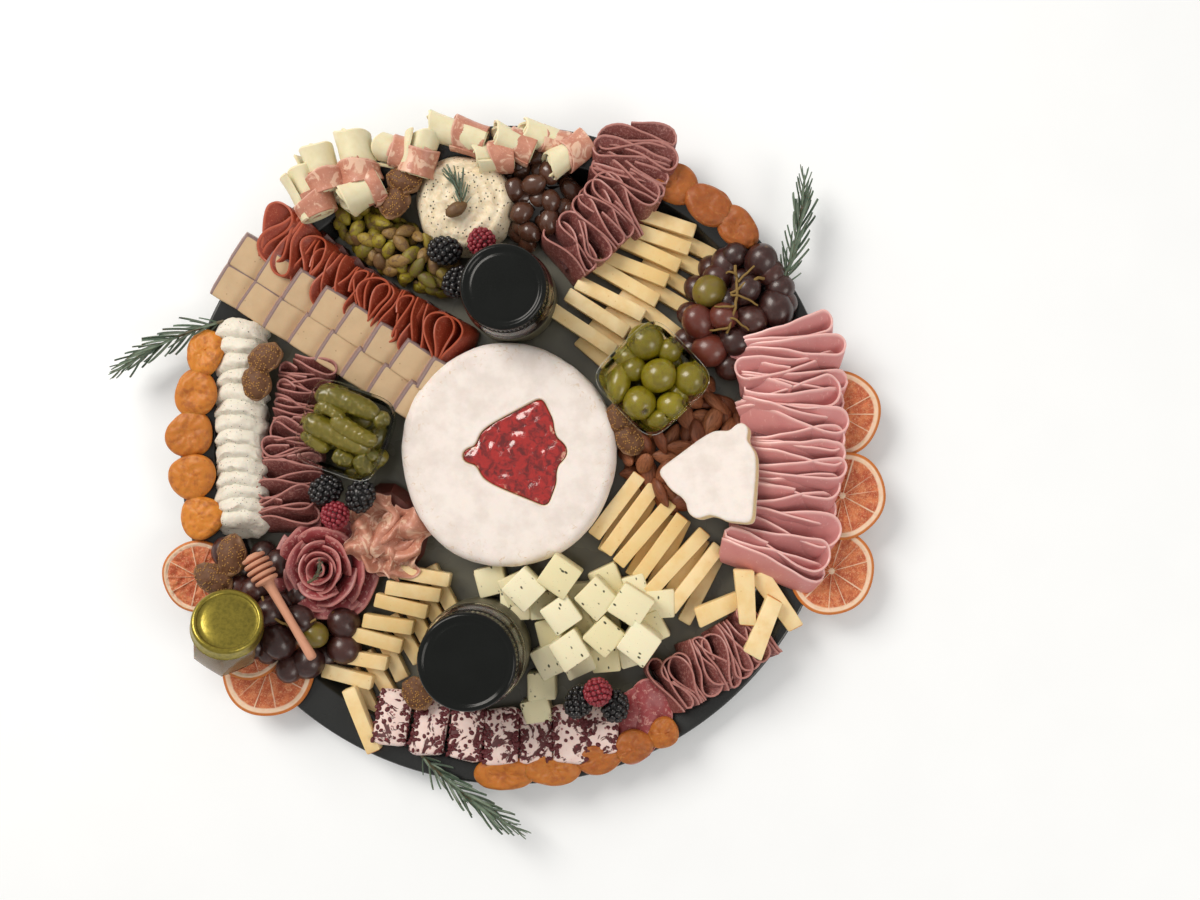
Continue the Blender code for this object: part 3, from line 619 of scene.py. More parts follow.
rim = brie_outline(pocket)
rings, paste, edge = [], [], []


def brie_ring(outline, height, is_paste=0, near_edge=0):
    rings.append(np.column_stack([outline, np.full(len(outline), height)]))
    paste.append(is_paste)
    edge.append(near_edge)


for share in (0.3, 0.9):
    brie_ring(pocket_middle + (pocket - pocket_middle) * share, POCKET_FLOOR, 1)
for height in (POCKET_FLOOR, 27, 32.6):
    brie_ring(pocket, height, 1)
brie_ring(turned(bell(0.25), POCKET_PLACE, POCKET_YAW), BRIE_TOP - 0.7, 0.55)
lip = turned(bell(1.1), POCKET_PLACE, POCKET_YAW)
brie_ring(lip, BRIE_TOP - 0.05)
shoulder = brie_outline(pocket, 6)
for share in np.linspace(0.04, 1, 22):
    brie_ring(lip + (shoulder - lip) * share, BRIE_TOP, 0, max(0, share - 0.7) / 0.3)
for inset, drop in ((4.6, 0.35), (3.2, 1), (1.9, 2.1), (0.9, 3.6), (0.3, 5.4)):
    brie_ring(brie_outline(pocket, inset), BRIE_TOP - drop, 0, 1)
for height, inset in ((26, 0), (20, -0.3), (14, 0), (8, 0.5), (4.5, 1.4), (ON_FLOOR, 3.2)):
    brie_ring(brie_outline(pocket, inset), height, 0, 0.5)
rings = np.array(rings)
top_mask = (rings[..., 2] > 31) & (np.arange(len(rings))[:, None] > 6)
rings[..., 2] += np.where(top_mask, 0.55 * lumps(rings * [1, 1, 0], 24, 1) + 0.22
        * lumps(rings * [1, 1, 0], 7, 2) - 0.25, 0)
side_mask = (rings[..., 2] < 31) & (np.arange(len(rings))[:, None] > 20)
out = rings[..., :2] / np.linalg.norm(rings[..., :2], axis=2, keepdims=True)
rings[..., :2] += np.where(side_mask[..., None], out * 0.5 * lumps(rings, 9, 3)[..., None], 0)
piece("brie", loft(rings, paste=paste, edge=edge), white_rind, "white_rind", "brie_wheel", crease=60)

# %% [markdown]
# The jam is glossy and full of soft fruit: bright where light passes through, nearly black in the lumps,
# and a little of it has smeared back over the cream at the cut. Pale specks of pulp are painted partly as
# highlights. A closed shape with the same bell outline holds it, and its top is pushed up into lumps by
# noise. Its gloss does most of the work.

# %% Jam
jam = Finish("jam", roughness=0.09, soft=(0.25, 0.004), coat_weight=0.8, coat_roughness=0.03)
fruit = jam.grain(5.5, 4, 0.6, bent=0.8)
pulp = jam.grain(1.6, 3, 0.6)
jam.colour = jam.mix(jam.step(fruit, 0.34, 0.60), (0.40, 0.05, 0.06), (0.66, 0.12, 0.11))
# Pale specks of pulp, painted partly as highlights on the jam.
jam.over(jam.step(pulp, 0.60, 0.78) * 0.25, (0.80, 0.26, 0.20))
jam.over(jam.step(jam.cells(9), 0.26, 0.12) * jam.step(fruit, 0.42, 0.55) * 0.8, (0.25, 0.04, 0.05))
smear = jam.mark("rim") * jam.step(jam.grain(7, 3, 0.6), 0.56, 0.66)
jam.over(smear * 0.7, (0.86, 0.68, 0.58))
jam.paint(normal=jam.relief(fruit, 0.7, 0.6, jam.relief(pulp, 0.12, 0.4)))
jam_outline = turned(bell(-0.4), POCKET_PLACE, POCKET_YAW)
jam_rings = [np.column_stack([jam_outline, np.full(len(pocket), z)]) for z in (20.5, 28, 33)]
jam_shares = np.concatenate([[0.985], np.linspace(0.955, 0.03, 26)])
for share in jam_shares:
    flat = pocket_middle + (jam_outline - pocket_middle) * share
    swell = 1.1 * (1 - share ** 8)
    jam_rings.append(np.column_stack([flat, np.full(len(pocket), 33.2 + swell)]))
jam_rings = np.array(jam_rings)
near_middle = np.concatenate([[0, 0, 0], np.clip((1 - jam_shares) / 0.07, 0, 1)])[:, None]
flat = jam_rings * [1, 1, 0]
jam_rings[..., 2] += near_middle * (2.1 * lumps(flat, 11, 4) + 0.7 * lumps(flat, 5, 5) - 0.2)
piece("jam_filling", loft(jam_rings, rim=[1] * 6 + [0] * 24), jam, "jam", "fruit_jam", crease=80)

# %% [markdown]
# The bell that was cut out leans on the ham. It is the same bell, so it is built from the same outline:
# rind above and below, and soft straw-coloured paste on the cut sides, a little ragged.

# %% Cut-out bell
BELL_CENTRE, BELL_THICK, BELL_PLACE, BELL_YAW, BELL_ROLL = (-36, 0), 14, (144.5, -11.4, 41.5), -119, 18
outline = bell() + BELL_CENTRE
half = BELL_THICK / 2
LAYERS = [(0.25, -half), (0.92, -half), (0.985, -half + 0.6), (1, -half + 1.9), (1, -2), (0.995, 1.5),
          (1, half - 2.2),
          (0.995, half - 1.1), (0.975, half - 0.3), (0.93, half)] + [(s, half)
                  for s in (0.8, 0.65, 0.5, 0.35, 0.2, 0.05)]
bell_rings = np.array([np.column_stack([outline * share, np.full(len(outline), z)]) for share, z in LAYERS])
cut = [0, 0, 0, 0.4, 1, 1, 1, 0.35, 0, 0] + [0] * 6
ragged = np.array(cut)[:, None, None] * 0.55 * lumps(bell_rings, 3, 6)[..., None] * bell_rings / 35
bell_rings += ragged
bell_rings[10:, :, 2] += 0.45 * lumps(bell_rings[10:] * [1, 1, 0], 11, 7)
bell_piece = loft(bell_rings, paste=cut).placed(at(BELL_PLACE, BELL_YAW, 0, BELL_ROLL))
piece("brie_bell_piece", bell_piece, white_rind, "white_rind", "brie_bell", crease=60)
# %% [markdown]
# ## Soft herb cheese and goat cheese
# A scoop of soft cheese was spread round with a knife, which left a spiral of shallow ridges. The goat
# cheese was cut into rounds that lean on each other, each with smear strokes. Both are white with dark
# herb specks. Specks are colour, not shape, because real ones are chopped into the cheese.

# %% Soft cheese
soft_cheese = look = Finish("soft herb cheese", roughness=0.62, soft=(0.1, 0.003))
curd = look.grain(1.3, 4, 0.65)
strokes = look.grain(9, 3, 0.6, bent=2.2)
look.colour = look.mix(look.step(strokes, 0.35, 0.65), (0.87, 0.80, 0.67), (0.92, 0.87, 0.77))
herbs = look.specks(3, 0.15, 0.26, 6, 0.36, 0.46)
look.over(herbs, (0.27, 0.26, 0.19))
flecks = look.specks(1.5, 0.05, 0.10, 5, 0.5, 0.6)
look.over(flecks * 0.7, (0.45, 0.40, 0.30))
look.paint(normal=look.relief(curd, 0.35, 0.8, look.relief(strokes, 0.8, 0.6)))

DOME_PLACE, DOME_R = (-31, 173), 34
turn = around_circle(150)
DOME = [(0.93, ON_FLOOR), (1, 8), (1.02, 15), (0.985, 22), (0.92, 27.5), (0.85, 30.5)]
DOME += [(0.79 * (1 - i / 30), 32 + 2.6 * sin(i / 30 * 1.5)) for i in range(30)]
dome_rings = []
for share, z in DOME:
    ridge = np.sin(turn + share * 24) * 0.6 * min(1, share * 2.5) if z > 29 else np.sin(turn * 9 + z) * 0.3
    wide = DOME_R * share * (1 + 0.02 * np.sin(3 * turn + 1) + 0.012 * np.sin(7 * turn))
    dome_rings.append(xyz(DOME_PLACE[0] + wide * np.cos(turn), DOME_PLACE[1] + wide * np.sin(turn),
                          z + ridge))
dome_rings = np.array(dome_rings)
dome_rings[1:, :, 2] += 1.3 * lumps(dome_rings[1:], 8, 11) + 0.7 * lumps(dome_rings[1:], 3.5, 12)
piece("herb_cheese_scoop", loft(dome_rings), soft_cheese, "herb_cheese", "herb_cheese", crease=70)

GOAT_PATH, GOAT_HALF, GOAT_ROUNDS = bend((-185, 86), (-186, 12), (-184, -52)), 17, 14
rng = np.random.default_rng(21)
rounds = []
for i in range(GOAT_ROUNDS):
    spot, way = GOAT_PATH((i + 0.5) / GOAT_ROUNDS)
    disc = []
    for z, share in ((-6.5, 0.8), (-6, 0.93), (-4.5, 1), (0, 1.02), (4.5, 1), (6, 0.94), (6.6, 0.8),
                     (6.9, 0.55), (7, 0.25)):
        a = around_circle(72)
        wide = share * (1 + 0.03 * np.sin(2 * a + i) + 0.02 * np.sin(5 * a + 2 * i))
        disc.append(xyz(13.5 * wide * np.cos(a), (GOAT_HALF + rng.uniform(-1, 1)) * wide * np.sin(a), z))
    disc = np.array(disc)
    disc += disc * [0.09, 0.09, 0] * lumps(disc + i * 40, 6, 13)[..., None]
    disc[..., 2] += 2.2 * lumps(disc + i * 40, 8, 14) + 0.8 * lumps(disc + i * 40, 2.6, 15)
    place = (spot[0], spot[1] + 2, 18)
    rounds.append(loft(disc).placed(at(place, heading(way), 54 + rng.normal(0, 4), rng.normal(0, 5))))
rounds.append(core("goat_cheese", 0.9, 9))
goat_cheese = look = Finish("goat cheese", roughness=0.6, soft=(0.1, 0.003))
crumb = look.grain(1.1, 4, 0.65)
smears = look.grain(7, 3, 0.6, bent=2)
look.colour = look.mix(smears, (0.82, 0.79, 0.73), (0.92, 0.90, 0.85))
pepper = look.specks(2.4, 0.11, 0.20, 5, 0.42, 0.52)
look.over(pepper, (0.35, 0.34, 0.30))
look.paint(normal=look.relief(crumb, 0.4, 0.8, look.relief(smears, 1, 0.7)))
piece("goat_cheese_rounds", joined(rounds), goat_cheese, "herb_cheese", "goat_cheese", crease=60)

# %% [markdown]
# ## Cut cheese
# Firm cheese is cut into sticks, wedges, cubes and slabs. A stick could be a scaled cube, but a knife
# leaves slightly uneven sides and the ends sag, so each bar is skinned over a row of rounded squares
# along a faintly bent line, with its own length and turn.

# %% Bars
def bar(length, width, height, corner=0.9, sag=0, skew=0, narrow=1, seed=0, steps=6):
    """A bar along X with rounded edges, bent down by sag at its ends and narrower at its far end."""
    corners = [(1, 1, 0), (-1, 1, 90), (-1, -1, 180), (1, -1, 270)]
    section = []
    for sy, sz, first in corners:
        for a in np.radians([first, first + 45, first + 90]):
            section.append((sy * (width / 2 - corner) + corner * cos(a), sz * (height / 2 - corner)
                            + corner * sin(a)))
    section = np.array(section)
    along_bar = np.linspace(-length / 2 + corner, length / 2 - corner, steps)
    end, cut = length / 2, corner / min(width, height)
    rows = [(-end, 1 - 2.2 * cut), (-end + corner * 0.3, 1 - cut)] + [(x, 1) for x in along_bar]
    rows += [(end - corner * 0.3, 1 - cut), (end, 1 - 2.2 * cut)]
    rings = []
    for x, share in rows:
        t = x / length
        taper = 1 + (narrow - 1) * (t + 0.5)
        ring = np.column_stack([np.full(12, x), section[:, 0] * share * taper, section[:, 1] * share])
        ring[:, 2] -= sag * (2 * t) ** 2
        ring[:, 0] += skew * section[:, 0]
        rings.append(ring)
    rings = np.array(rings)
    rings += 0.18 * bumps(rings + seed * 31, 12, 20)
    return loft(rings, tip=[1 if x > length / 2 - 0.4 else 0 for x, _ in rows])


STICK, CORNER_R = 9.8, 0.8
STICK_LOW = ON_FLOOR + STICK / 2
PILES = [("cheese_sticks_top", ((118, 158), (91, 113), (50, 68)), 8, 52, (-18, -36), (-26, -42), (-14, 13)),
         ("cheese_sticks_right", ((74, -35), (104, -64), (141, -96)), 6, 56, (53, 49), (64, 60), (0, -2)),
         ("cheese_sticks_left", ((-46, -86), (-76, -125), (-110, -170)), 7, 37, (-10, -14), (-62, -62),
          (-13, 4))]


def stick_pile(path, count, length, upper, lower, offsets, orange_tip):
    """Two layers of leaning sticks along a curve, the lower ones showing between the upper."""
    bars = []
    for level, ((first, last), offset) in enumerate(zip((lower, upper), offsets[::-1])):
        for i in range(count):
            share = i / count + (0 if level else 0.5 / count)
            if share > 1.02:
                continue
            spot, way = bend(*path)(share)
            yaw = first + (last - first) * share + 3 * sin(2.7 * i)
            z = STICK_LOW + level * (STICK - 0.5)
            spot = spot + offset * np.array([cos(radians(yaw)), sin(radians(yaw))])
            size = length * (1 + 0.05 * sin(4.1 * i + z))
            one = bar(size, STICK, STICK, CORNER_R, 0.8 + 0.5 * sin(i), 0.05 * sin(3 * i),
                      seed=i + 20 * level)
            one.marks["tip"] *= orange_tip * (level == 1 and i % 3 != 2)
            bars.append(one.placed(at((*spot, z), yaw, 1.5 * sin(1.9 * i) * level), tone=0.5 + 0.5
                                   * sin(5.3 * i + level)))
    return bars


OVER_THE_RIM = bar(47, STICK, STICK, CORNER_R, 0.8,
                   seed=50).placed(at((-101, -182, 19.75 + STICK / 2), -68), tone=0.6)


yellow_cheese = look = Finish("firm yellow cheese", roughness=0.48, soft=(0.12, 0.003))
knife = look.grain(0.9, 3, 0.6)
cloud = look.grain(13, 3, 0.55)
look.colour = look.mix(look.mark("tone"), (0.89, 0.78, 0.55), (0.94, 0.85, 0.66))
look.over(look.step(cloud, 0.35, 0.7) * 0.5, (0.87, 0.71, 0.43))
# Painted shade: small darker spots stand in for the shade inside the cheese's small holes, which are not
# modelled.
eyes = look.step(look.cells(7), 0.09, 0.06)
look.over(eyes * 0.5, (0.78, 0.62, 0.36))
look.over(look.mark("tip"), (0.84, 0.56, 0.28))
look.paint(roughness=cloud * 0.15 + 0.4, normal=look.relief(knife, 0.12, 0.5, look.relief(cloud, 0.5, 0.4)))
for node, path, count, length, upper, lower, offsets in PILES:
    sticks = stick_pile(path, count, length, upper, lower, offsets, 1 if "right" in node else 0)
    sticks += [OVER_THE_RIM] * ("left" in node)
    piece(node + "_cut", joined(sticks), yellow_cheese, "yellow_cheese", node)

# %% [markdown]
# Four thick wedges of the same cheese lean over the rim. They are narrower at one end, and their outer
# end still has its orange rind.

# %% Wedges
ON_RIM = 19.75
WEDGES = [(145, -105, 24, 35, 0), (162, -97, -86, 38, 8), (184, -100, -55, 46, 0), (174, -117, 68, 42, 8.5)]
wedges = []
for i, (x, y, yaw, length, lift) in enumerate(WEDGES):
    wedge = bar(length, 14, STICK, 0.9, 0, 0.1, 0.8, seed=60 + i)
    wedges.append(wedge.placed(at((x, y, ON_RIM + STICK / 2 + lift), yaw), tone=0.4 + 0.2 * i))
piece("cheese_wedges_cut", joined(wedges), yellow_cheese, "yellow_cheese", "cheese_wedges")

# %% [markdown]
# The cubes are a pale cheese with coarse dark pepper and herbs, piled two deep. Each face was cut by
# hand, so the cubes differ in size and none is quite square.

# %% Cubes
CUBES, SETTLED = (20, 22), 0.8
LOWER = [(-13, -87), (5, -92), (23, -104), (29, -123), (28, -142), (22, -160), (19, -178), (47, -142),
         (66, -140), (85, -136), (97, -120), (104, -103), (86, -93), (67, -88), (49, -99), (66, -113),
         (48, -119), (4, -104)]
UPPER = [(12, -91), (36, -82), (37, -108), (61, -97), (84, -102), (43, -132), (66, -123), (90, -127)]
pepper_cheese = look = Finish("pepper cheese", roughness=0.5, soft=(0.1, 0.002))
grit = look.grain(1, 3, 0.6)
look.colour = look.mix(look.mark("tone"), (0.88, 0.84, 0.67), (0.92, 0.89, 0.76))
chopped = look.scaled(look.local(), (1, 0.55, 0.8))
coarse = look.step(look.cells(3.6, at=chopped), 0.25, 0.15)
coarse = coarse * look.step(look.grain(8, 2, at=look.local()), 0.50, 0.56)
look.over(coarse, (0.25, 0.25, 0.15))
fine = look.step(look.cells(2.4, at=look.local()), 0.10, 0.05)
look.over(fine * 0.5, (0.47, 0.45, 0.28))
look.paint(normal=look.relief(grit, 0.18, 0.6, look.relief(coarse, -0.3, 0.5)))
cubes = []
for level, spots in enumerate((LOWER, UPPER)):
    for i, (x, y) in enumerate(spots):
        size = CUBES[level] * (1 + 0.05 * sin(2 * i))
        cube = bar(size, size * (1 + 0.03 * sin(5 * i)), size, 1, 0, 0.06 * sin(3 * i), seed=80 + i + 20
                   * level, steps=5)
        cube.marks["local"] += 50 * (i + 30 * level)
        z = ON_FLOOR + size / 2 + (CUBES[0] - SETTLED) * level
        yaw, lean = 12 * sin(2.1 * i) + 15 + 30 * level, 3 * sin(3.3 * i) * level
        cubes.append(cube.placed(at((x, y, z), yaw, lean), tone=0.5 + 0.5 * sin(3.7 * i + level)))
piece("pepper_cubes", joined(cubes), pepper_cheese, "pepper_cheese", "herb_cheese_cubes")

# %% [markdown]
# Slabs of white cheese rolled in dried cranberries lean along the bottom of the board. Their faces show
# white cheese with wine-red berries pressed in. The larger berries are real lumps, strewn over the slabs.

# %% Cranberry slabs
CRAN_PATH, CRAN_COUNT, CRAN_SIZE = bend((-80, -181), (-5, -194), (64, -189)), 7, (38, 25.6, 9)
cranberry_cheese = look = Finish("cranberry cheese", roughness=0.55, soft=(0.08, 0.002))
slab_at = look.local()
streak = look.grain(8, 3, 0.6, slab_at)
look.colour = look.mix(streak, (0.84, 0.70, 0.68), (0.93, 0.87, 0.84))
berry = look.grain(15, 4, 0.65, slab_at, 1.5) + look.mark("skin") * 0.13
berry = look.step(berry, 0.615, 0.655)
wine = look.mix(look.grain(2, 3, 0.6, slab_at), (0.22, 0.05, 0.07), (0.38, 0.12, 0.13))
look.over(berry, wine)
seedlet = look.step(look.cells(4.4, at=slab_at), 0.24, 0.16)
look.over(seedlet * 0.8, (0.50, 0.16, 0.20))
look.paint(base_color=look.mix(look.mark("bit"), look.colour, (0.34, 0.08, 0.11)),
           normal=look.relief(berry, 0.5, 0.8, look.relief(streak, 0.4, 0.5)))
rng = np.random.default_rng(31)
slabs = []
bit = ball(2)
for i in range(CRAN_COUNT):
    spot, way = CRAN_PATH(i / (CRAN_COUNT - 1))
    slab = bar(CRAN_SIZE[0] + 2 * sin(3 * i), CRAN_SIZE[1] - 2.6, CRAN_SIZE[2], 1.8, 0, 0.09 * sin(4 * i),
               seed=140 + i, steps=9)
    slab.marks["skin"] = np.clip(np.abs(slab.points[:, 1]) / 12, 0, 1) ** 2
    slab.marks["local"] += 60 * i
    place = at((*spot, 21.5 + 1.5 * (i % 2)), 84 + 12 * i / CRAN_COUNT + 3 * sin(5 * i),
               20 + 3 * sin(2 * i), 5 * sin(4 * i))
    slabs.append(slab.placed(place, bit=0))
    for k in range(80):
        x, y = rng.uniform(-18, 18), rng.uniform(-9, 9)
        if k % 4:
            y = rng.choice([-1, 1]) * rng.uniform(7.5, 11.4)
        side = rng.random() < 0.3
        z = CRAN_SIZE[2] / 2 if not side else rng.uniform(-4, 4)
        y = y if not side else 11.3 * np.sign(y)
        size = (rng.uniform(1, 2.6), rng.uniform(0.8, 1.7), rng.uniform(0.5, 1.1))
        inner = at((x, y, z), rng.uniform(0, 360), rng.normal(0, 12), 90 if side else 0, size)
        slabs.append(bit.placed(place @ inner, bit=1, skin=1))
piece("cranberry_slabs", joined(slabs), cranberry_cheese, "cranberry_cheese", "cranberry_cheese", crease=50)

# %% [markdown]
# Two rows of slabs from a washed-rind cheese overlap like roof tiles. The rind is a thin grey-purple line
# on the upper and left edges of each slab, and a wider pinkish strip where its outside turns up.

# %% Slabs with rind
RIND_ROWS = [((-176, 136), (-48, 52)), ((-189, 116), (-64, 36))]
RIND_SIZE, RIND_COUNT = (26, 25, 13), 8
rind_cheese = look = Finish("washed-rind cheese", roughness=0.5, soft=(0.1, 0.003))
slab_place = look.local()
soft_cloud = look.grain(9, 3, 0.6, slab_place)
look.colour = look.mix(soft_cloud, (0.84, 0.73, 0.58), (0.78, 0.66, 0.51))
# Painted shade: small darker spots stand in for the shade inside the cheese's holes, which are not
# modelled.
hole = look.step(look.cells(6, at=slab_place), 0.10, 0.06)
look.over(hole * 0.7, (0.62, 0.50, 0.36))
rind_tone = look.mix(look.grain(3, 3, 0.7), (0.74, 0.60, 0.52), (0.62, 0.50, 0.47))
line_tone = look.mix(look.grain(2, 3, 0.7), (0.45, 0.37, 0.37), (0.56, 0.46, 0.44))
near = look.mark("near")
halo = look.step(near, 0.35, 1)
look.over(halo * 0.75, (0.70, 0.58, 0.53))
look.over(look.step(look.mark("line"), 0.45, 0.6), line_tone)
look.paint(base_color=look.mix(look.step(look.mark("rind"), 0.45, 0.55), look.colour, rind_tone),
           normal=look.relief(soft_cloud, 0.3, 0.5, look.relief(look.grain(0.8, 3), 0.15, 0.6)))


def rind_slab(seed):
    """A flat slab with marks: rind on its far side, a line along two edges of its upper face."""
    length, width, height = RIND_SIZE
    n = 32
    u, v = square_grid(n)
    corner = 1 - 0.035 * np.clip((np.abs(u) + np.abs(v) - 1.55) / 0.45, 0, 1)
    x, y = u * length / 2 * corner, v * width / 2 * corner
    border = np.maximum(np.abs(u), np.abs(v))
    roll = 0.8 * np.clip((border - 0.93) / 0.07, 0, 1) ** 2
    top = xyz(x, y, height / 2 - roll)
    under = xyz(x, y, -height / 2 + roll)
    top[..., 2] += 0.25 * lumps(top + seed * 40, 9, 41)
    path = [(i, 0) for i in range(n)] + [(n - 1, j) for j in range(1, n)]
    path += [(i, n - 1) for i in range(n - 2, -1, -1)] + [(0, j) for j in range(n - 2, 0, -1)]
    path = np.array(path)
    loop = path[:, 0] * n + path[:, 1]
    after = np.roll(loop, -1)
    flat = grid_faces(n, n, False, False)
    wall = np.stack([loop, loop + n * n, after + n * n, after], 1)
    shape = Shape(np.concatenate([top.reshape(-1, 3), under.reshape(-1, 3)]),
                  np.concatenate([flat, flat[:, ::-1] + n * n, wall]))
    shape.marks["local"] = shape.points + seed * 45
    left, far = (u + 1) * length / 2, (1 - v) * width / 2
    edge_near = np.clip(1 - np.minimum(left, far) / 4, 0, 1)
    line = np.clip(1.9 - np.minimum(left, far) / 1.2, 0, 1)
    shape.marks["near"] = np.concatenate([edge_near.ravel(), np.ones(n * n)])
    shape.marks["line"] = np.concatenate([line.ravel(), np.zeros(n * n)])
    side = ((left < 0.4) | (far < 0.4)).astype(float)
    shape.marks["rind"] = np.concatenate([np.zeros(n * n), side.ravel()])
    return shape


slabs = []
for row, (start, end) in enumerate(RIND_ROWS):
    for i in range(RIND_COUNT):
        spot = np.array(start, float) + (np.array(end, float) - start) * (i / (RIND_COUNT - 1))
        place = at((*spot, 23 - 2 * row + 0.8 * sin(5 * i)), -33 + 2.5 * sin(3 * i + row),
                   24 + 3 * sin(4 * i), 4)
        slabs.append(rind_slab(i + 10 * row).placed(place))
piece("rind_slabs", joined(slabs), rind_cheese, "rind_cheese", "rind_cheese", crease=50)
# %% [markdown]
# ## Folded slices of meat
# Thin slices are folded in half and stood up side by side, so from above each shows as a long hairpin: two
# pale edges with a round loop at one end. A saw-tooth block could hint at that, but the loops and the dark
# gaps are what make it read as meat. So each slice is a real sheet. Its lower edge follows a tight
# hairpin, its upper edge a wider one that has fallen a little to one side, and straight lines join them.

# %% A folded slice
def hairpin(reach, loop, gap, count=44):
    """A path from one open end at X=0, round a drop-shaped loop near X=reach and back."""
    t = np.linspace(-1, 1, count)
    arm = np.clip((1 - np.abs(t)) / 0.62, 0, 1)
    curl = np.clip((np.abs(t) < 0.38) * (1 - np.abs(t) / 0.38), 0, 1)
    x = (reach - loop) * arm + loop * np.sin(curl * pi / 2)
    belly = np.sin(arm * pi / 2) ** 3
    y = np.sign(t) * (gap / 2 + (loop - gap / 2) * belly) * np.where(np.abs(t) < 0.38,
            np.cos(curl * pi / 2), 1)
    return np.stack([x, y], 1)


def ribbon(path, count=44):
    """A smooth path through a few places, with its points evenly spaced."""
    path = np.array(path, float)
    for _ in range(4):
        near, far = path[:-1] * 0.75 + path[1:] * 0.25, path[:-1] * 0.25 + path[1:] * 0.75
        path = np.concatenate([path[:1], np.stack([near, far], 1).reshape(-1, 2), path[-1:]])
    lengths = np.concatenate([[0], np.cumsum(np.linalg.norm(np.diff(path, axis=0), axis=1))])
    even = np.linspace(0, lengths[-1], count)
    return np.stack([np.interp(even, lengths, path[:, k]) for k in (0, 1)], 1)


def standing(upper, lower, low, high, thickness, seed, arch=0.25, lean=0):
    """A thin slice between a lower and an upper path, highest in the middle and fallen to one side."""
    rows = 9
    share = 1 - (1 - np.linspace(0, 1, rows)[:, None, None]) ** 1.6
    plan = lower * (1 - share) + upper * share
    across = upper[:, 0] - upper[:, 0].mean()
    reach = max(np.abs(across).max(), 1)
    top = high - arch * (high - low) * (across / reach) ** 2
    share = share[..., 0]
    grid = np.dstack([plan, low + (top - low) * share])
    flat = xyz(grid[..., 0], grid[..., 1], grid[..., 2] * 0.6 + seed * 37)
    grid[..., 1] += lean * share ** 1.5 + 1.3 * lumps(flat, 14, 51) * share
    grid[..., 2] += 0.8 * lumps(flat + 91, 9, 52) * share
    steps = np.linalg.norm(np.diff(upper, axis=0), axis=1)
    run = np.concatenate([[0], np.cumsum(steps)]) + np.zeros((rows, 1))
    local = xyz(run, grid[..., 2] - low, seed * 23)
    rim = np.clip(1 - (1 - share) * (top - low) / 1.6, 0, 1)
    return sheet(grid, thickness, local=local, rim=rim)


def folded_row(path, half, count, crest, thickness, seed, node, loop, lean, turn=0, base=ON_FLOOR + 1,
               outward=0.5,
               widths=(1, 1), wander=1.6, arch=0.3):
    """Folded slices along a row, each with its loop outwards or inwards, leaning on the last."""
    rng = np.random.default_rng(seed)
    slices = []
    for i in range(count):
        share = (i + 0.5) / count
        spot, way = path(share)
        side = -1 if rng.random() < outward else 1
        reach = half * rng.uniform(1.72, 2) * np.interp(share, np.linspace(0, 1, len(widths)), widths)
        wide_loop = rng.uniform(*loop)
        upper = hairpin(reach, wide_loop, rng.uniform(1.6, 3.6))
        lower = hairpin(reach * 0.86, wide_loop * 0.35, 1.2) + (reach * 0.07, 0)
        if rng.random() < 0.35:
            back = rng.uniform(0.35, 0.6) * reach
            upper = ribbon([*upper[::-1], (0, -wide_loop), (5, -wide_loop * 1.5),
                            (back, -wide_loop * 1.1)], len(upper))
            lower = ribbon([*lower[::-1], (2, -2.5), (6, -3.5), (back, -3)], len(lower))
        upper[:, 1] += wander * np.sin(upper[:, 0] / reach * pi * rng.uniform(0.8, 1.8) + rng.uniform(0, 6))
        slice_ = standing(upper, lower, base, crest + rng.uniform(-2.5, 1), thickness, seed + i, arch,
                          lean * rng.uniform(0.7, 1.25))
        slice_.points[:, 0] -= reach / 2 + rng.uniform(-2, 2)
        slice_.points[:, 0] *= side
        yaw = heading(way) - 90 + turn + rng.normal(0, 3 * wander)
        slice_ = slice_.placed(at((*spot, 0), yaw), tone=rng.random())
        slices.append(laid_on_tray(slice_, base, crest))
    return joined(slices + [core(node, 0.8, 9)])


print("folded slices ready")

# %% [markdown]
# Salami is deep pink and crossed by fine threads of fat. Spicy salami is brick red with small flecks.
# Cooked ham is smooth and paler. All three catch the light along the cut edge, so each finish has a painted
# highlight: it turns paler near the rim. The core that closes the gaps is painted much darker, a painted
# shade.

# %% Finishes of the meats
def meat(name, deep, light, rim_tone, fat, fat_size, fat_share, rough=0.42):
    finish = Finish(name, roughness=rough, soft=(0.08, 0.002), coat_roughness=0.25)
    where = finish.local()
    cloud = finish.grain(9, 3, 0.6, where)
    finish.colour = finish.mix(cloud, deep, light)
    finish.over(finish.mark("tone") * 0.35, deep)
    threads = finish.step(finish.grain(fat_size, 4, 0.7, where, 0.6), 1 - fat_share - 0.12, 1 - fat_share)
    finish.over(threads * 0.75, fat)
    # Painted highlight: paler along the cut edge, where a slice catches the light.
    rim = finish.step(finish.mark("rim"), 0.25, 0.95)
    finish.over(rim * 0.8, rim_tone)
    # Painted shade: the core that closes the gaps is painted at about a third of the deep tone.
    finish.over(finish.mark("core"), tuple(c * 0.35 for c in tint(*deep)[:3]) + (1,))
    fine = finish.grain(0.7, 3, 0.6, where)
    finish.paint(roughness=cloud * 0.2 + (rough - 0.1), coat_weight=finish.step(cloud, 0.4, 0.7) * 0.25,
                 normal=finish.relief(fine, 0.12, 0.6, finish.relief(threads, 0.2, 0.4)))
    return finish


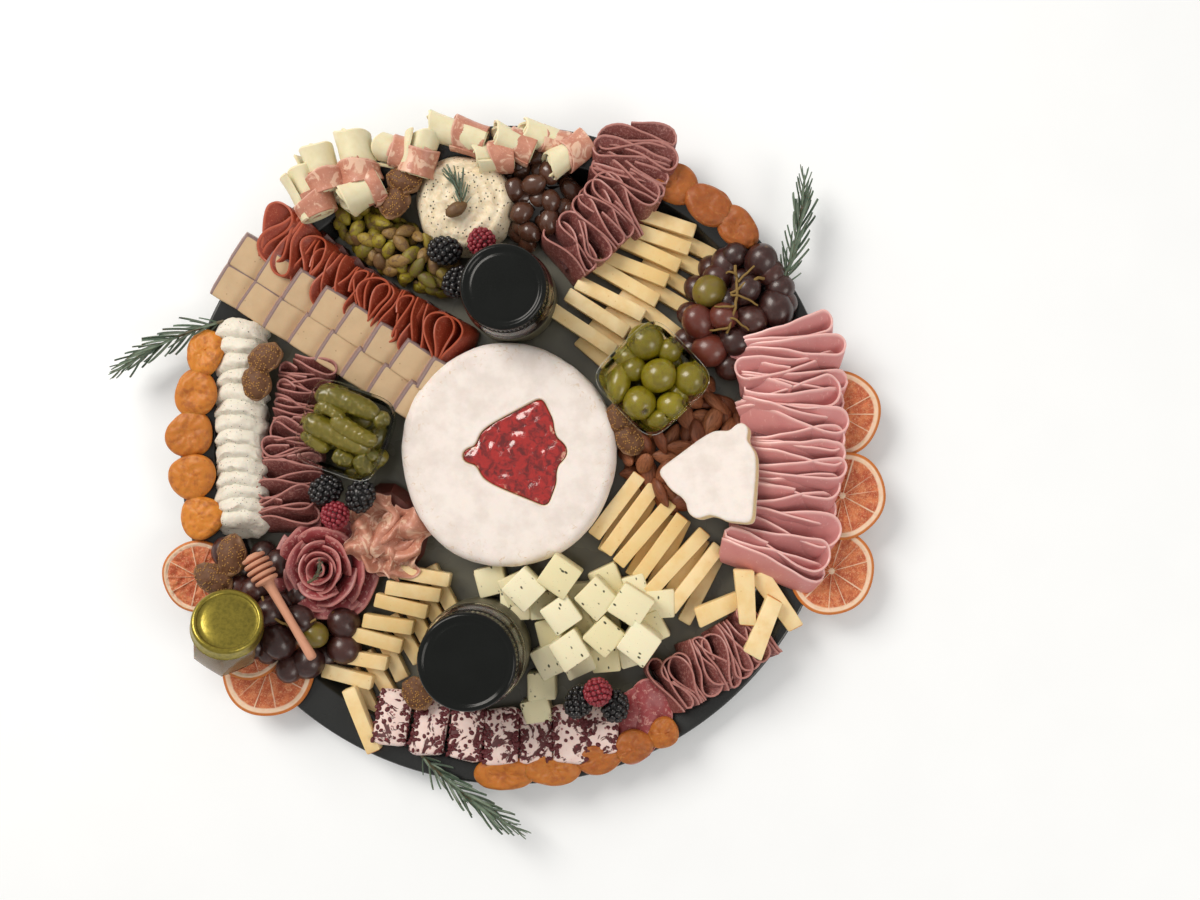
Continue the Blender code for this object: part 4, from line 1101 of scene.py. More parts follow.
salami = meat("salami", (0.44, 0.22, 0.21), (0.56, 0.33, 0.31), (0.71, 0.49, 0.46), (0.72, 0.51, 0.48),
              1.6, 0.38)
spicy = meat("spicy salami", (0.50, 0.16, 0.09), (0.60, 0.24, 0.14), (0.69, 0.33, 0.22),
             (0.72, 0.40, 0.28), 1.4, 0.34)
ham = meat("cooked ham", (0.78, 0.50, 0.50), (0.84, 0.58, 0.57), (0.93, 0.75, 0.73), (0.89, 0.68, 0.66),
           2.6, 0.30, 0.38)
SALAMI_TOP = bend((86, 206), (68, 166), (28, 134))
SPICY = bend((-150, 149), (-96, 107), (-25, 72))
SALAMI_LEFT = bend((-138, 54), (-149, 2), (-150, -58))
HAM = bend((190, 70), (193, -4), (176, -90))
SALAMI_BOTTOM = bend((168, -124), (132, -146), (100, -165))
ROWS = [("salami_top", SALAMI_TOP, 22, 13, 40, 1.4, 101, (4.5, 9.5), -13, 0, salami, "salami", 0.5,
         (1.35, 1.15, 1)),
        ("spicy_salami", SPICY, 21, 16, 33, 1.4, 102, (5.5, 10.5), -13, 12, spicy, "spicy_salami", 0.5,
         (1, 1)),
        ("salami_left", SALAMI_LEFT, 19, 13, 31, 1.3, 103, (4.5, 9), -13, 0, salami, "salami", 0.5,
         (0.9, 1.1, 1.25)),
        ("salami_bottom", SALAMI_BOTTOM, 21, 10, 35, 1.3, 105, (5.5, 9), -11, 0, salami, "salami", 0.4,
         (1, 1))]
for node, path, half, count, crest, thick, seed, loop, lean, turn_by, finish, slot, outward, widths in ROWS:
    row = folded_row(path, half, count, crest, thick, seed, node, loop, lean, turn_by, outward=outward,
                     widths=widths)
    piece(node + "_slices", row, finish, slot, node)
ham_row = folded_row(HAM, 38, 15, 44, 1.5, 104, "ham_folds", (6, 11.5), -18, base=20.5, outward=0.85,
                     wander=1.8, arch=0.55)
piece("ham_slices", ham_row, ham, "ham", "ham_folds")

# %% [markdown]
# The rose is a spiral of salami slices. Each petal is a bent sheet that stands nearly upright in the
# heart of the rose and falls outwards at its rim, with a curled top edge.

# %% Salami rose
ROSE_PLACE, ROSE_HALF, ROSE_TOP = (-128, -78), (34, 37.5), 45
rng = np.random.default_rng(41)
marbled = meat("marbled salami", (0.50, 0.16, 0.18), (0.62, 0.28, 0.29), (0.76, 0.50, 0.48),
               (0.80, 0.58, 0.55), 3.2, 0.36)
petals = []
for i in range(19):
    share = i / 18
    around = radians(137 * i + 20)
    out = 2 + 27 * share ** 0.85
    reach = radians(rng.uniform(75, 100) if share > 0.3 else 170)
    a = np.linspace(-reach / 2, reach / 2, 30) * (1 if share > 0.3 else 1.6)
    rows = []
    petal_high = ROSE_TOP - 23 * share ** 1.8 + rng.uniform(-1, 1)
    for v in np.linspace(0, 1, 9):
        flare = out * (0.62 + 0.38 * v) + (3 + 7 * share) * v ** 2.5
        z = 6 + (petal_high - 6) * (v - 0.14 * v ** 5 * (1 + share)) - 5 * (a / reach * 2) ** 2 * v
        x, y = flare * np.cos(a + around), flare * np.sin(a + around)
        rows.append(xyz(x * ROSE_HALF[0] / 36, y * ROSE_HALF[1] / 36, z))
    grid = np.array(rows)
    grid += 1.2 * np.linspace(0, 1, 9)[:, None, None] * bumps(grid + 50 * i, 11, 60)
    v = np.linspace(0, 1, 9)[:, None] + np.zeros((1, 30))
    local = xyz(a * out, v * 34, 40 * i)
    petals.append(sheet(grid, 1.3, local=local,
                        rim=np.clip(1 - (1 - v) * 11, 0, 1)).placed(at((*ROSE_PLACE, 0)),
                                tone=rng.random()))
petals.append(core("salami_rose", 0.72, 16))
piece("salami_rose_petals", joined(petals), marbled, "salami", "salami_rose")

# %% [markdown]
# One slice of salami lies flat and a little rumpled beside the bottom row, where its marbling shows best.

# %% Flat slices
flat_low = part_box("salami_flat")[0][2] / MM
flat_slices = []
for i, (x, y, half_x, half_y, yaw) in enumerate([(88, -186, 18, 27, -12), (97, -177, 15, 23, 8)]):
    u, v = square_grid(34)
    round_u, round_v = u * np.sqrt(1 - v * v / 2), v * np.sqrt(1 - u * u / 2)
    grid = xyz(round_u * half_x, round_v * half_y, 2.2 * np.cos(round_u * 3.2 + 0.6) + 1)
    grid[..., 2] += 1.1 * lumps(grid + 30 * i, 9, 70) + 1.5 * i
    rim = np.clip((np.maximum(np.abs(u), np.abs(v)) - 0.93) / 0.07, 0, 1)
    slice_ = sheet(grid, 1.3, local=grid + 70 * i, rim=rim)
    slice_ = slice_.placed(at((x, y, flat_low + 1.6), yaw), tone=0.3 * i)
    flat_slices.append(laid_on_tray(slice_, flat_low, flat_low + 9))
piece("salami_slice_flat", joined(flat_slices), marbled, "salami", "salami_flat")

# %% [markdown]
# Cured ham is thinner than any of these and crumples like cloth, with broad white ribbons of fat. Several
# loose sheets are folded by waves that run in different directions and laid over each other.

# %% Cured ham
cured = Finish("cured ham", roughness=0.4, soft=(0.05, 0.002))
where = cured.local()
lean = cured.grain(6, 4, 0.6, where, 0.7)
band = cured.step(cured.grain(11, 3, 0.55, where, 1.2), 0.53, 0.62)
cured.colour = cured.mix(lean, (0.65, 0.38, 0.31), (0.82, 0.60, 0.50))
cured.over(cured.step(cured.grain(1.6, 3, 0.7, where), 0.58, 0.66) * 0.5, (0.88, 0.70, 0.63))
cured.over(band * 0.8, (0.89, 0.75, 0.65))
# Painted highlight: paler along the thin edges of each sheet and the open ends of the rolls.
cured.over(cured.step(cured.mark("rim"), 0.5, 1) * 0.5, (0.90, 0.72, 0.65))
# Painted shade: the core under the sheets is painted a dark brown.
cured.over(cured.mark("core"), (0.35, 0.17, 0.14))
cured.paint(roughness=lean * 0.2 + 0.3, normal=cured.relief(lean, 0.3, 0.5))


def crumpled(half_x, half_y, height, seed, n=40):
    """A square sheet gathered into folds that wander and fade."""
    rng = np.random.default_rng(seed)
    folds = rng.uniform(0.9, 1.5)
    u, v = square_grid(n)
    a, b, c = rng.uniform(0, 6, 3)
    crease = np.sin(u * pi * folds + 2.2 * np.sin(v * 2.3 + a) + b)
    z = height * (0.55 + 0.45 * crease) * np.clip(1.25 - (u * u + v * v) * 0.55, 0.15, 1)
    x = u * half_x + 2.2 * np.cos(u * pi * folds + a) + 1.5 * np.sin(v * 5 + c)
    y = v * half_y * (1 - 0.22 * u * u) + 1.8 * np.sin(u * 6 + b)
    grid = xyz(x, y, z)
    grid[..., 2] += 3.2 * lumps(grid * [1, 1, 0] + seed * 10, 11, 72) + 0.8 * lumps(grid + seed * 10, 5, 73)
    local = xyz(u * half_x * 1.6, v * half_y * 1.3, seed * 31)
    rim = np.clip((np.maximum(np.abs(u), np.abs(v)) - 0.92) / 0.08, 0, 1)
    return sheet(grid, 1, local=local, rim=rim)


CURED = [((-92, -48), 17, 20, 12, 20, 0, 9), ((-74, -54), 16, 18, 13, -35, 8, 9),
         ((-90, -66), 16, 15, 11, 70, 6, 8), ((-78, -72), 13, 14, 10, 10, -10, 7),
         ((-98, -58), 13, 15, 12, -20, 12, 11)]
sheets = [crumpled(hx, hy, tall, 200 + i).placed(at((*spot, 12 + low), yaw, lean_over))
          for i, (spot, hx, hy, tall, yaw, lean_over, low) in enumerate(CURED)]
piece("cured_ham_sheets", joined(sheets + [core("cured_ham", 0.85, 7)]), cured, "cured_ham", "cured_ham")

# %% [markdown]
# Each roll is a slice of white cheese wound up with a slice of cured ham round it. The cheese stands out
# at one end as a loose spiral. A spiral path is made once, and both sheets follow it at different turns.

# %% Rolls
white_cheese = Finish("mild white cheese", roughness=0.4, soft=(0.15, 0.003))
melt = white_cheese.grain(6, 3, 0.55)
white_cheese.paint(base_color=white_cheese.mix(melt, (0.84, 0.80, 0.64), (0.91, 0.88, 0.76)),
                   roughness=melt * 0.15 + 0.32,
                   normal=white_cheese.relief(melt, 0.3, 0.4))


def spiral(radius, first, last, inner, height, slant, seed, flare=0, n=70):
    """A sheet wound from inner to radius while it turns from first to last, standing along Z."""
    turn = np.linspace(first, last, n)
    out = inner + (radius - inner) * np.linspace(0, 1, n) ** 0.8
    rows = []
    for v in np.linspace(0, 1, 9):
        z = v * height + (slant * np.sin(turn + 1) + 1.2 * np.sin(2.3 * turn + seed)) * v ** 4
        loose = 1 + 0.05 * sin(4 * v + seed) + flare * v ** 3
        rows.append(xyz(out * loose * np.cos(turn), out * loose * np.sin(turn), z))
    grid = np.array(rows)
    grid[..., :2] += 0.5 * np.stack([lumps(grid + seed * 20, 8, 80 + k) for k in (0, 1)], -1)
    return grid, xyz(turn * out, grid[..., 2], seed * 19)


ROLLS = {"left": [((-106, 217), (-99, 185), 14.5), ((-130, 206), (-121, 179), 14.5),
                  ((-141, 192), (-128, 163), 14),
                  ((-111, 172), (-87, 185), 13.5)],
         "middle": [((-87, 209), (-63, 203), 12), ((-56, 217), (-63, 191), 13),
                    ((-52, 225), (-16, 213), 12)],
         "right": [((-21, 203), (3, 204), 11), ((-8, 218), (17, 207), 11), ((10, 220), (41, 211), 10),
                   ((29, 195), (54, 214), 11)]}
for row, (side, rolls) in enumerate(ROLLS.items()):
    cheeses, hams = [], []
    for i, (mouth, tail, radius) in enumerate(rolls):
        z = ON_RIM + radius + 0.8 * (i % 2)
        place, length = pointing((*tail, z - 1.5), (*mouth, z + 2.5), i + row)
        shown = length * (0.62 if side == "left" else 0.42)
        grid, _ = spiral(radius - 2, 0, 3.7 * pi, 3.2, length, 2.6, i + 5 * row, 0.16)
        cheeses.append(sheet(grid, 2.1).placed(place))
        grid, local = spiral(radius - 0.2, 0, 3.2 * pi, radius - 2, length - shown, 2.5, i + 5 * row + 9)
        v = np.linspace(0, 1, 9)[:, None] + np.zeros((1, 70))
        hams.append(sheet(grid, 1, local=local, rim=np.clip(v * 9 - 8, 0, 1)).placed(place))
        plug = lathe([(0.1, 0.5), (radius * 0.5, 0.6), (radius * 0.8, 1), (radius * 0.82, length * 0.5),
                      (0.1, length * 0.55)], 24)
        hams.append(plug.placed(place, rim=0.3))
    piece(f"roll_cheese_{side}", joined(cheeses), white_cheese, "cured_ham", f"ham_rolls_{side}")
    piece(f"roll_ham_{side}", joined(hams), cured, "cured_ham", f"ham_rolls_{side}")
# %% [markdown]
# ## Jars
# Two small glass jars have glossy black screw lids, and the third, six-sided and lying over the rim, has a
# gold one. Glass needs both of its walls to look right, so each jar is a turned shell. What it
# holds is a separate form that reaches just into the glass, so that no air shows between them.

# %% Clear glass and lids
glass = Finish("jar glass", roughness=0.03, transmission_weight=1, ior=1.45)
glass_film = glass.grain(9, 3)
glass.paint(base_color=glass.mix(glass_film, (0.93, 0.95, 0.94), (0.97, 0.98, 0.98)))
lid_black = look = Finish("black lid", coat_roughness=0.05, specular_ior_level=0.2)
lid_scuff = look.grain(1.1, 4, 0.7)
look.paint(base_color=look.mix(lid_scuff, (0.045, 0.055, 0.05), (0.075, 0.085, 0.08)),
           roughness=look.step(lid_scuff, 0.3, 0.8) * 0.15 + 0.12,
           coat_weight=look.step(look.grain(20), 0.3, 0.7) * 0.08 + 0.02,
           normal=look.relief(lid_scuff, 0.02))


def filling(name, deep, light, gloss):
    finish = Finish(name, roughness=gloss)
    pulp = finish.grain(4, 4, 0.65)
    finish.paint(base_color=finish.mix(finish.step(pulp, 0.35, 0.7), deep, light),
                 normal=finish.relief(pulp, 0.6, 0.6))
    return finish


dark_preserve = filling("dark preserve", (0.10, 0.04, 0.04), (0.22, 0.09, 0.07), 0.3)
brown_spread = filling("brown spread", (0.15, 0.11, 0.07), (0.30, 0.23, 0.14), 0.35)
label_band = filling("paper band", (0.27, 0.26, 0.20), (0.36, 0.34, 0.26), 0.5)


SKIRT = [(2.2, 0.5), (0.3, 0), (0, 0.8), (0.2, 1.6), (0.7, 2), (0.6, 3)]
DISH = [(0.6, 3.4), (0.6, 2.2), (1, 1.2), (1.8, 0.4), (2.8, 0), (3.8, 0.1), (4.7, 0.7), (5.4, 1.2),
        (7, 1.3),
        (8, 0.9), (9, 0.8)]


def black_lid(radius, top, height):
    """A lid with a raised outer ring, a groove, a shallow dish and fine ribs down its skirt."""
    profile = [(radius - inset, top - height + up) for inset, up in SKIRT]
    profile += [(radius - inset, top - down) for inset, down in DISH]
    profile += [(radius * 0.5, top - 0.85), (radius * 0.2, top - 0.8), (0.1, top - 0.8)]
    rings = np.array([circle(r, z, 360) for r, z in profile])
    turn = around_circle(360)
    ribbed = slice(len(SKIRT) - 1, len(SKIRT) + 1)
    rings[ribbed, :, :2] += 0.35 * (np.sin(turn * 60) * [np.cos(turn), np.sin(turn)]).T
    return loft(rings)


def glass_shell(body, neck, shoulder, top, wall=1.6, sides=96):
    """Outside up to the neck, then back down the inside: one closed shell of glass."""
    outside = [(body - 6, ON_FLOOR), (body - 2, ON_FLOOR + 0.4), (body - 0.4, ON_FLOOR + 2),
               (body, ON_FLOOR + 5),
               (body, shoulder - 5), (body - 0.6, shoulder), (body - 2.6, shoulder + 3),
               (neck + 1, shoulder + 5.5),
               (neck, shoulder + 7), (neck, top)]
    inside = [(max(r - wall, 1), z + (wall * 1.5 if z < ON_FLOOR + 3 else -0.6)) for r, z in outside[::-1]]
    return lathe([(0.1, ON_FLOOR)] + outside + inside + [(0.1, ON_FLOOR + wall * 1.5)], sides)


JARS = {"preserve": ((1.3, 109), 29, 70, 31, dark_preserve),
        "spread": ((-21, -134), 32.7, 80, 35, brown_spread)}
LID_HEIGHT, SHOULDER_DROP = 15, 24
for name, (place, lid_r, top, body_r, content) in JARS.items():
    node = name + "_jar"
    shoulder = top - SHOULDER_DROP
    spot = at((*place, 0))
    shell = glass_shell(body_r, lid_r - 3, shoulder, top - 3)
    piece(node + "_glass", shell.placed(spot), glass, "dark_jar", node)
    inner = body_r - 1.45
    held = [(0.1, ON_FLOOR + 2.3), (inner - 5, ON_FLOOR + 2.3), (inner, ON_FLOOR + 6),
            (inner, shoulder - 5), (inner - 0.6, shoulder - 1),
            (lid_r - 4, shoulder + 4.5), (0.1, shoulder + 4.8)]
    piece(node + "_content", lathe(held, 96).placed(spot), content, "dark_jar", node)
    band = [(body_r + 0.02, 14), (body_r + 0.28, 14.3), (body_r + 0.28, shoulder - 8.3),
            (body_r + 0.02, shoulder - 8)]
    band_rings = lathe([(body_r - 0.3, 14)] + band + [(body_r - 0.3, shoulder - 8)], 96)
    band_rings = Shape(band_rings.points, [f for f in band_rings.faces if f.max() < 96 * 6])
    closing = grid_faces(2, 96)
    closing = np.where(closing >= 96, closing - 96 + 5 * 96, closing)
    piece(node + "_band", Shape(band_rings.points,
            np.concatenate([band_rings.faces, closing])).placed(spot), label_band, "dark_jar", node)
    piece(node + "_lid", black_lid(lid_r, top, LID_HEIGHT).placed(spot), lid_black, "dark_jar", node)

# %% [markdown]
# The honey jar is a six-sided prism with rounded corners. It lies tipped against the rim, so its body
# shows beside its lid, clouded with reflections of the tray.

# %% Honey jar
HONEY_BASE, HONEY_AXIS = Vector((-191.4, -130.3, 33)), Vector((14.8, 22.8, 40)).normalized()
HEX_R, HEX_SHOULDER, HEX_NECK, HEX_LID_R, HEX_LID = 22.5, 31, 20, 23, (35.4, 48)
honey_place = Matrix.Translation(HONEY_BASE) @ HONEY_AXIS.to_track_quat("Z", "Y").to_matrix().to_4x4()
gold_lid = look = Finish("gold lid", metallic=0.85, coat_roughness=0.1)
wear = look.grain(2.2, 4, 0.65)
look.paint(base_color=look.mix(look.step(wear, 0.35, 0.7), (0.60, 0.54, 0.22), (0.48, 0.44, 0.16)),
           roughness=wear * 0.25 + 0.2, coat_weight=wear * 0.4, normal=look.relief(wear, 0.05))
honey = Finish("honey", roughness=0.12, soft=(0.3, 0.006))
haze = honey.grain(12, 3, 0.6)
honey.paint(base_color=honey.mix(haze, (0.58, 0.46, 0.32), (0.70, 0.60, 0.46)),
            normal=honey.relief(haze, 0.6, 0.4))


def hexagon(radius, z, soften=0.16):
    turn = around_circle(72)
    flat = (turn + pi / 6) % (pi / 3) - pi / 6
    wide = radius * cos(pi / 6) / np.cos(pi / 6 - np.abs(flat))
    wide = wide * (1 - soften) + radius * 0.93 * soften
    return xyz(wide * np.cos(turn), wide * np.sin(turn), z)


outer = [hexagon(r, z) for r, z in ((2, 0.1), (HEX_R - 2, 0.1), (HEX_R, 1.6), (HEX_R, HEX_SHOULDER - 1.5))]
outer += [hexagon(HEX_R - 1, HEX_SHOULDER, 0.35), circle(HEX_NECK + 0.4, HEX_SHOULDER + 2.5)]
outer += [circle(HEX_NECK, HEX_SHOULDER + 4), circle(HEX_NECK, 44)]
inner = [circle(HEX_NECK - 1.5, 44), circle(HEX_NECK - 1.5, HEX_SHOULDER + 3)]
inner += [hexagon(r, z) for r, z in ((HEX_R - 2, HEX_SHOULDER - 2), (HEX_R - 1.6, 3), (HEX_R - 5, 2),
        (2, 2))]
piece("honey_jar_glass", loft(outer + inner).placed(honey_place), glass, "honey_jar", "honey_jar")
held = ((2, 1.8), (HEX_R - 4.5, 1.8), (HEX_R - 1.45, 3), (HEX_R - 1.45, HEX_SHOULDER - 2.4))
content = [hexagon(r, z) for r, z in held]
content += [circle(HEX_NECK - 1.4, HEX_SHOULDER + 1), circle(2, HEX_SHOULDER + 1.2)]
piece("honey_jar_honey", loft(content).placed(honey_place), honey, "honey_jar", "honey_jar")
low, high = HEX_LID
GOLD_SKIRT = [(1.6, 0.4), (0.2, 0), (0, 0.7), (0.5, 1.6)]
GOLD_DISH = [(0.5, 2.4), (0.9, 1), (1.9, 0.2), (3, 0), (3.9, 0.4), (4.4, 1.4), (5.6, 1.7), (7.4, 1.5),
             (8.4, 1)]
gold_profile = [(HEX_LID_R - inset, low + up) for inset, up in GOLD_SKIRT]
gold_profile += [(HEX_LID_R - inset, high - down) for inset, down in GOLD_DISH] + [(8, high - 0.9),
        (0.1, high - 0.9)]
piece("honey_jar_lid", lathe(gold_profile, 128).placed(honey_place), gold_lid, "honey_jar", "honey_jar")

# %% [markdown]
# The dipper is turned from one piece of pale wood: five thin discs on the head and a slim handle with a
# rounded end. Its grain runs along the handle, so the finish stretches its noise that way.

# %% Honey dipper
HEAD, HANDLE_END = Vector((-170, -67, 46)), Vector((-128, -137, 48))
wood = Finish("pale wood", roughness=0.6)
scaled = wood.scaled(wood.local(), (6, 6, 0.7))
fibre = wood.grain(6, 4, 0.6, scaled)
wood.paint(base_color=wood.mix(fibre, (0.84, 0.62, 0.51), (0.74, 0.51, 0.40)),
           normal=wood.relief(fibre, 0.15, 0.6))
profile = [(0.1, 0), (3.4, 0.1), (4.6, 0.8)]
for i, edge_r in enumerate((8, 8.9, 9.2, 8.9, 8)):
    z = 2.2 + 4.3 * i
    profile += [(5.6, z - 0.7), (edge_r - 0.5, z - 0.5), (edge_r, z), (edge_r, z + 1.2),
                (edge_r - 0.5, z + 1.8), (5.6, z + 2.1), (4.2, z + 2.8)]
profile += [(3.6, 24.5), (3.2, 27), (2.9, 40), (2.8, 55), (3, 68), (3.3, 76), (3.3, 79.5), (2.6, 81),
            (1.4, 81.6), (0.1, 81.6)]
dipper_place, dipper_length = pointing(HEAD, HANDLE_END)
piece("dipper", lathe(profile, 40).placed(dipper_place), wood, "pale_wood", "honey_dipper")
print("dipper length:", round(dipper_length, 1), "mm")

# %% [markdown]
# ## Cups of olives and pickles
# Two thin clear cups with rounded corners. A clear wall only shows where it bends light, so the rim gets
# a real rolled edge, and the wall is thin and even.

# %% Clear cups
cup_plastic = look = Finish("clear plastic", roughness=0.05, transmission_weight=1, ior=1.1)
cup_haze = look.grain(14, 3)
look.paint(base_color=look.mix(cup_haze, (0.95, 0.96, 0.95), (0.98, 0.985, 0.98)))
CUPS = {"olive": ((98.8, 50.5), 29.4, 44, 55), "pickle": ((-107, 16), 28.2, -19.6, 50)}
WALL, TAPER = 1.2, 6


def cup_ring(half, z):
    """A square with rounded corners, half wide."""
    turn = around_circle(96)
    c, s = np.cos(turn), np.sin(turn)
    power = 2 / 5
    return xyz(half * np.sign(c) * np.abs(c) ** power, half * np.sign(s) * np.abs(s) ** power, z)


def cup_width(half, top, z):
    return half - TAPER * (top - z) / (top - ON_FLOOR)


for name, (place, half, turn_by, top_z) in CUPS.items():
    outer = [cup_ring(cup_width(half, top_z, z) - inset, z) for z, inset in
             ((ON_FLOOR, 8), (ON_FLOOR, 2), (ON_FLOOR + 1, 0.4), (ON_FLOOR + 3, 0), (25, 0),
              (top_z - 5, 0), (top_z - 2.4, 0.1))]
    lip = [cup_ring(half + out, top_z - down) for out, down in
           ((0.9, 1.9), (1.3, 1.1), (1, 0.3), (0.1, 0), (-0.9, 0.4), (-1.2, 1.3))]
    inner = [cup_ring(cup_width(half, top_z, z) - WALL - inset, z) for z, inset in
             ((25, 0), (ON_FLOOR + 4, 0), (ON_FLOOR + 2.2, 0.6), (ON_FLOOR + 1.2, 2), (ON_FLOOR + 1.2, 8))]
    shape = loft(outer + lip + inner).placed(at((*place, 0), turn_by))
    piece(name + "_cup_shell", shape, cup_plastic, "clear_cup", name + "_cup")

# %% [markdown]
# Green olives: smooth ovals, glossy with brine, each with a small round pit mark at its end. Nine show
# clearly at the top, and two more layers below them fill the cup.

# %% Olives
olive = Finish("green olive", coat_roughness=0.08, soft=(0.15, 0.003))
skin = olive.grain(5, 3, 0.6, olive.local())
dots = olive.step(olive.cells(1.3, at=olive.local()), 0.12, 0.06)
olive.colour = olive.mix(olive.mark("tone"), (0.42, 0.38, 0.05), (0.54, 0.49, 0.09))
olive.over(olive.step(skin, 0.4, 0.7) * 0.6, (0.38, 0.33, 0.04))
olive.over(dots * 0.35, (0.62, 0.61, 0.28))
olive.over(olive.mark("pit"), (0.25, 0.20, 0.07))
olive.paint(roughness=skin * 0.2 + 0.18, coat_weight=skin * 0.4 + 0.05, normal=olive.relief(skin, 0.2, 0.5))


def olive_shape(radius, length, seed):
    """An oval along X with a dimpled pit mark at +X."""
    body = ball(4)
    unit = body.points.copy()
    dimple = np.clip(1 - np.hypot(unit[:, 1], unit[:, 2]) / 0.24, 0, 1) * (unit[:, 0] > 0)
    body.points = unit * (length, radius, radius * 0.97)
    body.points[:, 0] -= 1.5 * dimple ** 0.5
    body.points *= 1 + 0.02 * lumps(unit * 10 + seed * 9, 7, 90)[:, None]
    body.marks = {"local": body.points.copy(), "pit": np.clip(dimple * 2.2, 0, 1)}
    return body


OLIVES = [(94, 76, 12.5, 12.5, 0, 49), (110, 70, 8.5, 9, 60, 46), (86, 58, 8.5, 9, 30, 45),
          (103, 53, 11.5, 12.5, 20, 51), (124, 51, 11.5, 12, -10, 48), (76, 48, 8, 13.5, 80, 45),
          (90, 35, 11.5, 12, -60, 48), (111, 33, 9.5, 10.5, 10, 48), (102, 24, 6.5, 10, 15, 45),
          (116, 42, 8, 9, 80, 42), (82, 66, 8, 9, 10, 42)]
rng = np.random.default_rng(51)
olives = [olive_shape(r, half, i).placed(at((x, y, z - r * 0.62), yaw, rng.uniform(-60, 10)),
        tone=rng.random())
          for i, (x, y, r, half, yaw, z) in enumerate(OLIVES)]
olive_place, _, olive_turn, _ = CUPS["olive"]
for level, z in enumerate((12.5, 29)):
    for i in (-1, 0, 1):
        for j in (-1, 0, 1):
            apart = (14.6, 17)[level]
            inner = (i * apart + rng.uniform(-0.8, 0.8), j * apart + rng.uniform(-0.8, 0.8), 0)
            x, y, _ = at((*olive_place, 0), olive_turn) @ Vector(inner)
            olives.append(olive_shape(7.6, 8.4,
                    40 + i + 3 * j).placed(at((x, y, z), rng.uniform(0, 360), rng.uniform(-40, 40)),
                                           tone=rng.random()))
piece("olives_loose", joined(olives + [core("olives", 0.62, 10)]), olive, "olive", "olives")

# %% [markdown]
# Small pickled cucumbers: bent, bumpy and blunt at both ends. The bumps are real shape, because they show
# along the outline. The cucumbers lean in the cup, and one corner of the cup is empty.

# %% Pickles
pickle = look = Finish("pickle", coat_roughness=0.1, soft=(0.12, 0.003))
stripe = look.grain(4, 3, 0.6, look.local())
look.colour = look.mix(look.mark("tone"), (0.33, 0.31, 0.07), (0.43, 0.39, 0.11))
look.over(look.step(stripe, 0.45, 0.7) * 0.7, (0.48, 0.43, 0.15))
look.over(look.mark("wart") * 0.6, (0.53, 0.47, 0.19))
look.paint(roughness=stripe * 0.25 + 0.2, coat_weight=stripe * 0.3 + 0.1,
           normal=look.relief(stripe, 0.25, 0.6))


def pickle_shape(length, radius, curve, seed):
    """A bent cucumber along X with warts."""
    t = np.linspace(-1, 1, 56)
    turn = around_circle(40)
    wide = radius * (1 - np.abs(t) ** 5) ** 0.5 * (1 - 0.12 * t)
    rings = xyz((t * length / 2)[:, None], wide[:, None] * np.cos(turn), wide[:, None] * np.sin(turn))
    wart = np.clip(lumps(rings + seed * 50, 2.3, 91) * 2.2 - 0.35, 0, 1)
    push = 0.65 * wart + 0.35 * lumps(rings + seed * 50, 6, 92) + 0.12 * np.cos(5 * turn)[None, :]
    rings[..., 1] += push * np.cos(turn)
    rings[..., 2] += push * np.sin(turn)
    rings[..., 1] += curve * (1 - t[:, None] ** 2)
    shape = loft(rings, wart=wart)
    shape.marks["local"] = shape.points + seed * 40
    return shape


PICKLES = [((-132, 46), (-82, 28), 7.5, 46), ((-142, 26), (-89, 0), 7.5, 44),
           ((-119, 27), (-83, 6), 6, 47), ((-143, 15), (-123, 0), 4.5, 41),
           ((-130, 37), (-108, 24), 4.5, 47), ((-87, 22), (-74, 26), 5.5, 42),
           ((-119, -1), (-103, -9), 5.5, 40), ((-99, -2), (-89, -18), 6, 41),
           ((-118, 12), (-84, -6), 6, 38), ((-136, 30), (-100, 38), 6, 36),
           ((-128, 8), (-96, 14), 6.5, 34), ((-112, -14), (-82, 2), 6, 30),
           ((-130, 20), (-92, 26), 7, 27), ((-122, 4), (-88, 12), 7, 20),
           ((-118, 30), (-92, -4), 7, 13), ((-124, 6), (-100, 32), 6.5, 12),
           ((-110, -8), (-86, 22), 7, 24)]
pickles = []
for i, (start, end, radius, z) in enumerate(PICKLES):
    middle, way = (np.array(start) + end) / 2, np.array(end, float) - start
    middle = middle + (np.array((-107, 16)) - middle) * (0.14 if z > 35 else 0)
    length = np.linalg.norm(way) * (0.86 if z > 35 else 0.92)
    place = at((*middle, z - radius * 0.7), heading(way), 4 * sin(3 * i))
    one = pickle_shape(length, radius, 1.6 * sin(5 * i + 1), i).placed(place, tone=0.5 + 0.5 * sin(7 * i))
    one.points[:, 2] += max(0, ON_FLOOR + 1.4 - one.points[:, 2].min())
    pickles.append(one)
piece("pickles_loose", joined(pickles + [core("pickles", 0.6, 12)]), pickle, "pickle", "pickles")
# %% [markdown]
# ## Nuts
# Three heaps: shelled pistachios in every shade from bright green to purple brown, glossy chocolate
# almonds, and plain almonds with ridged skins. A particle system could strew them, but the nuts have to
# be real mesh, so copies of a few hand-made shapes are laid on the heap's own surface, each turned its own
# way, and joined. A second, lower layer fills the gaps.

